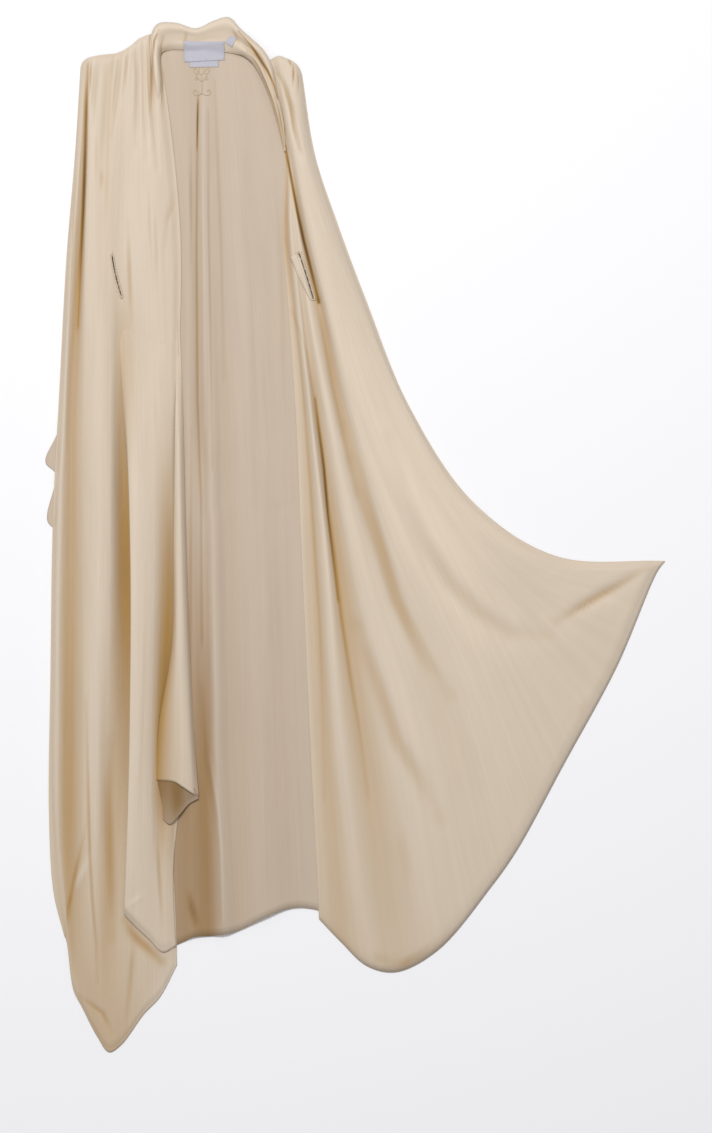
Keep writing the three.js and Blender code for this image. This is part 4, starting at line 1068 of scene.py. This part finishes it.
def cloth_material(name, colour, fold_shade_colour, roughness, sheen, specular):
    """Satin: yarn streaks down the panel, soft rumples, a stitched hem, and painted shade in deep folds, with
    a painted highlight on crests.
    """
    material = new_material(name)
    uv = add_node(material, "ShaderNodeUVMap", uv_map="cloth").outputs[0]
    # Yarns are 0.1 mm apart, too fine to show, so a streak here is 4 mm wide and 300 mm long.
    streaked = add_node(material, "ShaderNodeMapping", {"Vector": uv}, Scale=(250, 3.3, 1))
    streaks = add_node(material, "ShaderNodeTexNoise", {"Vector": streaked.outputs[0]}, Scale=1, Detail=3)
    # Rumples are left by folding: about 25 mm wide and 120 mm long.
    rumpled = add_node(material, "ShaderNodeMapping", {"Vector": uv}, Scale=(40, 8, 1))
    rumples = add_node(material, "ShaderNodeTexNoise", {"Vector": rumpled.outputs[0]}, Scale=1, Detail=2)
    painted_shading = add_node(material, "ShaderNodeAttribute", attribute_name="painted_shading").outputs["Fac"]
    hem = add_node(material, "ShaderNodeAttribute", attribute_name="hem").outputs["Fac"]
    # The hem's stitch line runs 9 mm from the edge.
    from_line = add_node(material, "ShaderNodeMath", {0: hem}, operation="SUBTRACT")
    from_line.inputs[1].default_value = 0.009
    apart = add_node(material, "ShaderNodeMath", {0: from_line.outputs[0]}, operation="ABSOLUTE")
    line = remapped(material, apart.outputs[0], 0, 0.0022, 0.975, 1)
    streak_tone = remapped(material, streaks.outputs[0], 0.3, 0.7, 0.972, 1.022)
    rumple_tone = remapped(material, rumples.outputs[0], 0.3, 0.7, 0.985, 1.015)
    tone = add_node(material, "ShaderNodeMath", {0: streak_tone, 1: rumple_tone}, operation="MULTIPLY")
    tone = add_node(material, "ShaderNodeMath", {0: tone.outputs[0], 1: line}, operation="MULTIPLY")
    # Below 0 the painted shading is a broad painted highlight, and above 1 the painted shade of the fold
    # grows darker still.
    painted_highlight = remapped(material, painted_shading, PALEST, 0, 1.12, 1)
    tone = add_node(material, "ShaderNodeMath", {0: tone.outputs[0], 1: painted_highlight}, operation="MULTIPLY")
    # Painted shade: the dark line deep in a fold.
    dark = remapped(material, painted_shading, 1, DARKEST, 1, 0.3)
    tone = add_node(material, "ShaderNodeMath", {0: tone.outputs[0], 1: dark}, operation="MULTIPLY")
    # Painted shade: the cloth's colour mixes towards the fold's shade colour as the painted shading grows.
    tinted = add_node(material, "ShaderNodeMix", {0: painted_shading}, data_type="RGBA")
    tinted.inputs[6].default_value = colour
    tinted.inputs[7].default_value = fold_shade_colour
    toned = add_node(
        material, "ShaderNodeVectorMath", {0: tinted.outputs[2], 3: tone.outputs[0]}, operation="SCALE"
    )
    seam = add_node(material, "ShaderNodeBump", {"Height": line}, Strength=0.3, Distance=0.004)
    rumple = add_node(
        material, "ShaderNodeBump", {"Height": rumples.outputs[0], "Normal": seam.outputs[0]},
        Strength=0.35, Distance=0.004,
    )
    bump = add_node(
        material, "ShaderNodeBump", {"Height": streaks.outputs[0], "Normal": rumple.outputs[0]},
        Strength=0.25, Distance=0.0006,
    )
    shader = add_node(
        material, "ShaderNodeBsdfPrincipled",
        {"Base Color": toned.outputs[0], "Normal": bump.outputs[0]},
        Roughness=roughness, Sheen_Weight=sheen, Sheen_Roughness=0.45, Specular_IOR_Level=specular,
    )
    add_node(material, "ShaderNodeOutputMaterial", {"Surface": shader.outputs[0]})
    return material


@lru_cache
def satin_material():
    """Smooth side of polyester satin: a soft, broad sheen that runs along the folds, from the shader and from
    painted highlights on the crests.
    """
    colours = bpy.context.scene.kaftan_colours
    return cloth_material(
        "ivory satin, smooth side", tuple(colours.satin), tuple(colours.fold), 0.48, 0.1, 0.22
    )


@lru_cache
def satin_back_material():
    """Wrong side of the same satin: matt, and a shade greyer, partly its own duller colour and partly painted
    shade.
    """
    colours = bpy.context.scene.kaftan_colours
    return cloth_material(
        "ivory satin, wrong side", tuple(colours.satin_back), tuple(colours.back_fold), 0.6, 0.15, 0.25
    )


@lru_cache
def turned_hem_material():
    """Wrong side where a hem turns back: matt, with deep brown painted shade inside the turn."""
    colours = bpy.context.scene.kaftan_colours
    return cloth_material(
        "ivory satin, inside of a hem", tuple(colours.satin_back), tuple(colours.turned), 0.65, 0.1, 0.2
    )


def plain_weave(name, colour, scale, roughness):
    """Thread or ribbon: a fine over-and-under weave on the object's own coordinates."""
    material = new_material(name)
    place = add_node(material, "ShaderNodeTexCoord")
    weave = add_node(material, "ShaderNodeTexVoronoi", {"Vector": place.outputs["Object"]}, Scale=scale)
    tone = remapped(material, weave.outputs[0], 0, 1, 1.03, 0.9)
    tinted = add_node(material, "ShaderNodeVectorMath", {3: tone}, operation="SCALE")
    tinted.inputs[0].default_value = colour[:3]
    bump = add_node(material, "ShaderNodeBump", {"Height": weave.outputs[0]}, Strength=0.3, Distance=0.0003)
    shader = add_node(
        material, "ShaderNodeBsdfPrincipled",
        {"Base Color": tinted.outputs[0], "Normal": bump.outputs[0]},
        Roughness=roughness, Sheen_Weight=0.1, Specular_IOR_Level=0.3,
    )
    add_node(material, "ShaderNodeOutputMaterial", {"Surface": shader.outputs[0]})
    return material


@lru_cache
def thread_material():
    """Rayon embroidery thread: deeper than the satin, with a silky gleam."""
    return plain_weave("rayon thread", tuple(bpy.context.scene.kaftan_colours.thread), 900, 0.45)


@lru_cache
def ribbon_material():
    """Woven label ribbon: cool grey-white and matt, so it stands out from the warmer-hued satin."""
    return plain_weave("woven ribbon", tuple(bpy.context.scene.kaftan_colours.ribbon), 700, 0.7)


# ---------------------------------------------------------------- operators

class KAFTAN_OT_back_panel(bpy.types.Operator):
    """Lays the back panel, wrong side up, on the floor"""

    bl_idname = "kaftan.back_panel"
    bl_label = "Back panel"

    def execute(self, context):
        mesh = grid_mesh("back_panel_cloth", [back_net()], hems=("foot",))
        piece = add_object("back_panel_cloth", mesh, [satin_back_material(), satin_material()])
        cloth_wall(piece, context.scene.kaftan_sizes.cloth)
        declare(piece, "back_panel", slot="satin_wrong_side")
        return {"FINISHED"}


class KAFTAN_OT_right_front(bpy.types.Operator):
    """Folds the right front into its long layers"""

    bl_idname = "kaftan.right_front"
    bl_label = "Right front"

    def execute(self, context):
        sizes = context.scene.kaftan_sizes
        mesh = grid_mesh("right_front_cloth", right_front_nets(), hems=("foot",), finishes=[0, 0, 0, 2])
        open_slit(mesh, RIGHT_SLIT, sizes.slit_width / 2 + SLIT_MARGIN)
        materials = [satin_material(), satin_back_material(), turned_hem_material(), satin_material()]
        piece = add_object("right_front_cloth", mesh, materials)
        cloth_wall(piece, sizes.cloth)
        declare(piece, "right_front", slot="satin")
        return {"FINISHED"}


class KAFTAN_OT_left_front(bpy.types.Operator):
    """Spreads the left front out to the corner of its wing"""

    bl_idname = "kaftan.left_front"
    bl_label = "Left front"

    def execute(self, context):
        sizes = context.scene.kaftan_sizes
        mesh = grid_mesh("left_front_cloth", [left_front_net()], hems=("foot", "left"))
        open_slit(mesh, LEFT_SLIT, sizes.slit_width / 2 + SLIT_MARGIN)
        piece = add_object("left_front_cloth", mesh, [satin_material(), satin_back_material()])
        cloth_wall(piece, sizes.cloth)
        declare(piece, "left_front", slot="satin")
        return {"FINISHED"}


class KAFTAN_OT_collar(bpy.types.Operator):
    """Rolls the collar band round the back neck and down both front edges"""

    bl_idname = "kaftan.collar"
    bl_label = "Collar band"

    def execute(self, context):
        mesh = grid_mesh("collar_band_cloth", [collar_net()])
        piece = add_object("collar_band_cloth", mesh, [satin_material(), satin_back_material()])
        cloth_wall(piece, context.scene.kaftan_sizes.collar_cloth)
        declare(piece, "collar_band", slot="collar_satin")
        return {"FINISHED"}


class KAFTAN_OT_slit_bindings(bpy.types.Operator):
    """Binds both hand slits with a narrow strip, stitched down on each side"""

    bl_idname = "kaftan.slit_bindings"
    bl_label = "Slit bindings"

    def execute(self, context):
        sizes = context.scene.kaftan_sizes
        slits = (
            ("right_slit", RIGHT_SLIT, right_front_nets()[0]),
            ("left_slit", LEFT_SLIT, left_front_net()),
        )
        for name, slit, front in slits:
            surface = Surface([front])
            loops = []
            for share, lift in BINDING_SECTION:
                loop = slit_loop(slit, sizes.slit_width / 2 + share * sizes.binding_width, share)
                heights = [surface.height(x, y) + lift for x, y in loop]
                loops.append(np.column_stack([loop, heights, np.zeros(len(loop))]))
            net = np.stack(loops, axis=1)
            # The ring is closed, so its heights are evened out over its join too.
            heights = np.concatenate([net[-6:, :, 2], net[..., 2], net[:6, :, 2]])
            net[..., 2] = blurred(heights, 3, 0)[6:-6]
            ring = np.concatenate([net, net[:1]])
            mesh = grid_mesh(f"{name}_strip", [ring])
            bm = bmesh.new()
            bm.from_mesh(mesh)
            bmesh.ops.remove_doubles(bm, verts=bm.verts, dist=1e-6)
            bmesh.ops.recalc_face_normals(bm, faces=bm.faces)
            if sum(face.normal.z for face in bm.faces) < 0:
                bmesh.ops.reverse_faces(bm, faces=bm.faces)
            bm.to_mesh(mesh)
            bm.free()
            piece = add_object(f"{name}_strip", mesh, [satin_material(), satin_back_material()])
            cloth_wall(piece, BINDING_WALL)
            declare(piece, f"{name}_binding", slot="binding")
            over = Surface([ring, front])
            stitches = []
            # A faced slit is stitched along the binding and along its facing's far side.
            for share in (0.25, 0.85) if max(slit["facing"]) else (0.5,):
                row = slit_loop(slit, sizes.slit_width / 2 + share * sizes.binding_width, share)
                stitches += stitches_along(row, over, *SLIT_STITCH)
            path, run = slit_path(slit)
            # Bars of thread hold the slit's head.
            side = np.array([-run[0][1], run[0][0]])
            for beyond in SLIT_BARS:
                ends = path[0] - run[0] * beyond + side * np.array([[-BAR_REACH], [BAR_REACH]])
                stitches += stitches_along(ends, over, *BAR_STITCH)
            mesh = strands_mesh(f"{name}_stitches", stitches, SLIT_THREAD)
            declare(add_object(f"{name}_stitches", mesh, [thread_material()]))
        return {"FINISHED"}


class KAFTAN_OT_labels(bpy.types.Operator):
    """Sews in the blank neck label, the care label under it and the small size tab"""

    bl_idname = "kaftan.labels"
    bl_label = "Labels"

    def execute(self, context):
        sizes = context.scene.kaftan_sizes
        for name, net in label_nets().items():
            piece = add_object(f"{name}_ribbon", grid_mesh(f"{name}_ribbon", [net]), [ribbon_material()])
            cloth_wall(piece, sizes.label)
            declare(piece, name, slot="label_ribbon")
        surface = Surface([*label_nets().values(), back_net(), collar_net()])
        stitches = []
        for left, right, row in LABEL_CORNERS:
            ends = on_grid([left, right], [row, row])
            for lower in (0, 0.0008):
                stitches += stitches_along(ends - (0, lower, 0), surface, *LABEL_STITCH)
        mesh = strands_mesh("label_stitches", stitches, LABEL_THREAD)
        declare(add_object("label_stitches", mesh, [thread_material()]))
        return {"FINISHED"}


class KAFTAN_OT_needlework(bpy.types.Operator):
    """Couches the flower spray under the neck, and stitches the neck seam"""

    bl_idname = "kaftan.needlework"
    bl_label = "Needlework"

    def execute(self, context):
        sizes = context.scene.kaftan_sizes
        surface = Surface([back_net()])
        radius = sizes.thread / 2
        threads = []
        for bud in MOTIF_BUDS:
            turn = np.linspace(0, 2 * np.pi, 9)
            across, along = bud["width"] / 2 * np.sin(turn), bud["length"] / 2 * np.cos(turn)
            lean = math.radians(bud["lean"])
            columns = bud["column"] + across * math.cos(lean) + along * math.sin(lean)
            rows = bud["row"] - across * math.sin(lean) + along * math.cos(lean)
            threads.append(laid_thread(columns, rows, surface, radius))
        for stem in MOTIF_STEMS:
            threads.append(laid_thread(stem["columns"], stem["rows"], surface, radius * 1.4))
        mesh = strands_mesh("flower_spray", threads, radius)
        declare(add_object("flower_spray", mesh, [thread_material()]))

        seams = []
        cloth = Surface([back_net(), collar_net()])
        for seam in NECK_SEAMS:
            line = curve_points(on_grid(seam["columns"], seam["rows"]), 8)
            seams += stitches_along(line, cloth, *SEAM_STITCH)
        mesh = strands_mesh("neck_seam_stitches", seams, SEAM_THREAD)
        declare(add_object("neck_seam_stitches", mesh, [thread_material()]))
        return {"FINISHED"}


class KAFTAN_OT_stage(bpy.types.Operator):
    """Sets the pale floor, the soft light and the camera straight above"""

    bl_idname = "kaftan.stage"
    bl_label = "Stage"

    def execute(self, context):
        scene = context.scene
        bm = bmesh.new()
        bmesh.ops.create_grid(bm, x_segments=1, y_segments=1, size=20)
        bmesh.ops.translate(bm, verts=bm.verts, vec=(0, 0, -0.0004))
        mesh = bpy.data.meshes.new("floor")
        bm.to_mesh(mesh)
        bm.free()
        paper = new_material("matt white paper")
        shader = add_node(paper, "ShaderNodeBsdfPrincipled", Base_Color=linear("#fbfbfc"), Roughness=0.9)
        add_node(paper, "ShaderNodeOutputMaterial", {"Surface": shader.outputs[0]})
        add_object("floor", mesh, [paper])

        world = bpy.data.worlds.new("soft room")
        world.use_nodes = True
        world.node_tree.nodes["Background"].inputs["Color"].default_value = linear("#f7f7fb")
        world.node_tree.nodes["Background"].inputs["Strength"].default_value = 0.45
        scene.world = world

        softbox = bpy.data.lights.new("key", "AREA")
        softbox.shape = "RECTANGLE"
        softbox.size = softbox.size_y = KEY_SIZE
        softbox.energy = KEY_POWER
        lamp = bpy.data.objects.new("key", softbox)
        lamp.location = KEY_PLACE
        lamp.rotation_euler = (Vector(KEY_AIM) - Vector(KEY_PLACE)).to_track_quat("-Z", "Y").to_euler()
        scene.collection.objects.link(lamp)

        camera_data = bpy.data.cameras.new("camera")
        camera = bpy.data.objects.new("camera", camera_data)
        scene.collection.objects.link(camera)
        square = scene.kaftan_sizes.length / LAYOUT_ROWS
        camera_data.lens = camera_data.sensor_width * CAMERA_HEIGHT / (IMAGE_HEIGHT * square)
        camera_data.clip_end = 50
        centre = on_grid(IMAGE_WIDTH / 2, IMAGE_HEIGHT / 2)
        camera.location = (centre[0], centre[1], CAMERA_HEIGHT)
        scene.camera = camera
        scene.view_settings.view_transform = "Standard"
        return {"FINISHED"}


PIECES = (
    KAFTAN_OT_back_panel,
    KAFTAN_OT_slit_bindings,
    KAFTAN_OT_right_front,
    KAFTAN_OT_left_front,
    KAFTAN_OT_collar,
    KAFTAN_OT_labels,
    KAFTAN_OT_needlework,
    KAFTAN_OT_stage,
)


class KAFTAN_PT_build(bpy.types.Panel):
    bl_idname = "KAFTAN_PT_build"
    bl_label = "Cape kaftan"
    bl_space_type = "VIEW_3D"
    bl_region_type = "UI"
    bl_category = "Kaftan"

    def draw(self, context):
        for group in (context.scene.kaftan_sizes, context.scene.kaftan_colours):
            for name in group.bl_rna.properties.keys():
                if name not in ("rna_type", "name"):
                    self.layout.prop(group, name)
        for piece in PIECES:
            self.layout.operator(piece.bl_idname)


CLASSES = (KaftanSizes, KaftanColours, *PIECES, KAFTAN_PT_build)


def register():
    for cls in CLASSES:
        bpy.utils.register_class(cls)
    bpy.types.Scene.kaftan_sizes = bpy.props.PointerProperty(type=KaftanSizes)
    bpy.types.Scene.kaftan_colours = bpy.props.PointerProperty(type=KaftanColours)


def unregister():
    del bpy.types.Scene.kaftan_colours
    del bpy.types.Scene.kaftan_sizes
    for cls in reversed(CLASSES):
        bpy.utils.unregister_class(cls)


def main():
    register()
    for piece in PIECES:
        group, operator = piece.bl_idname.split(".")
        getattr(getattr(bpy.ops, group), operator)()


if __name__ == "__main__":
    main()
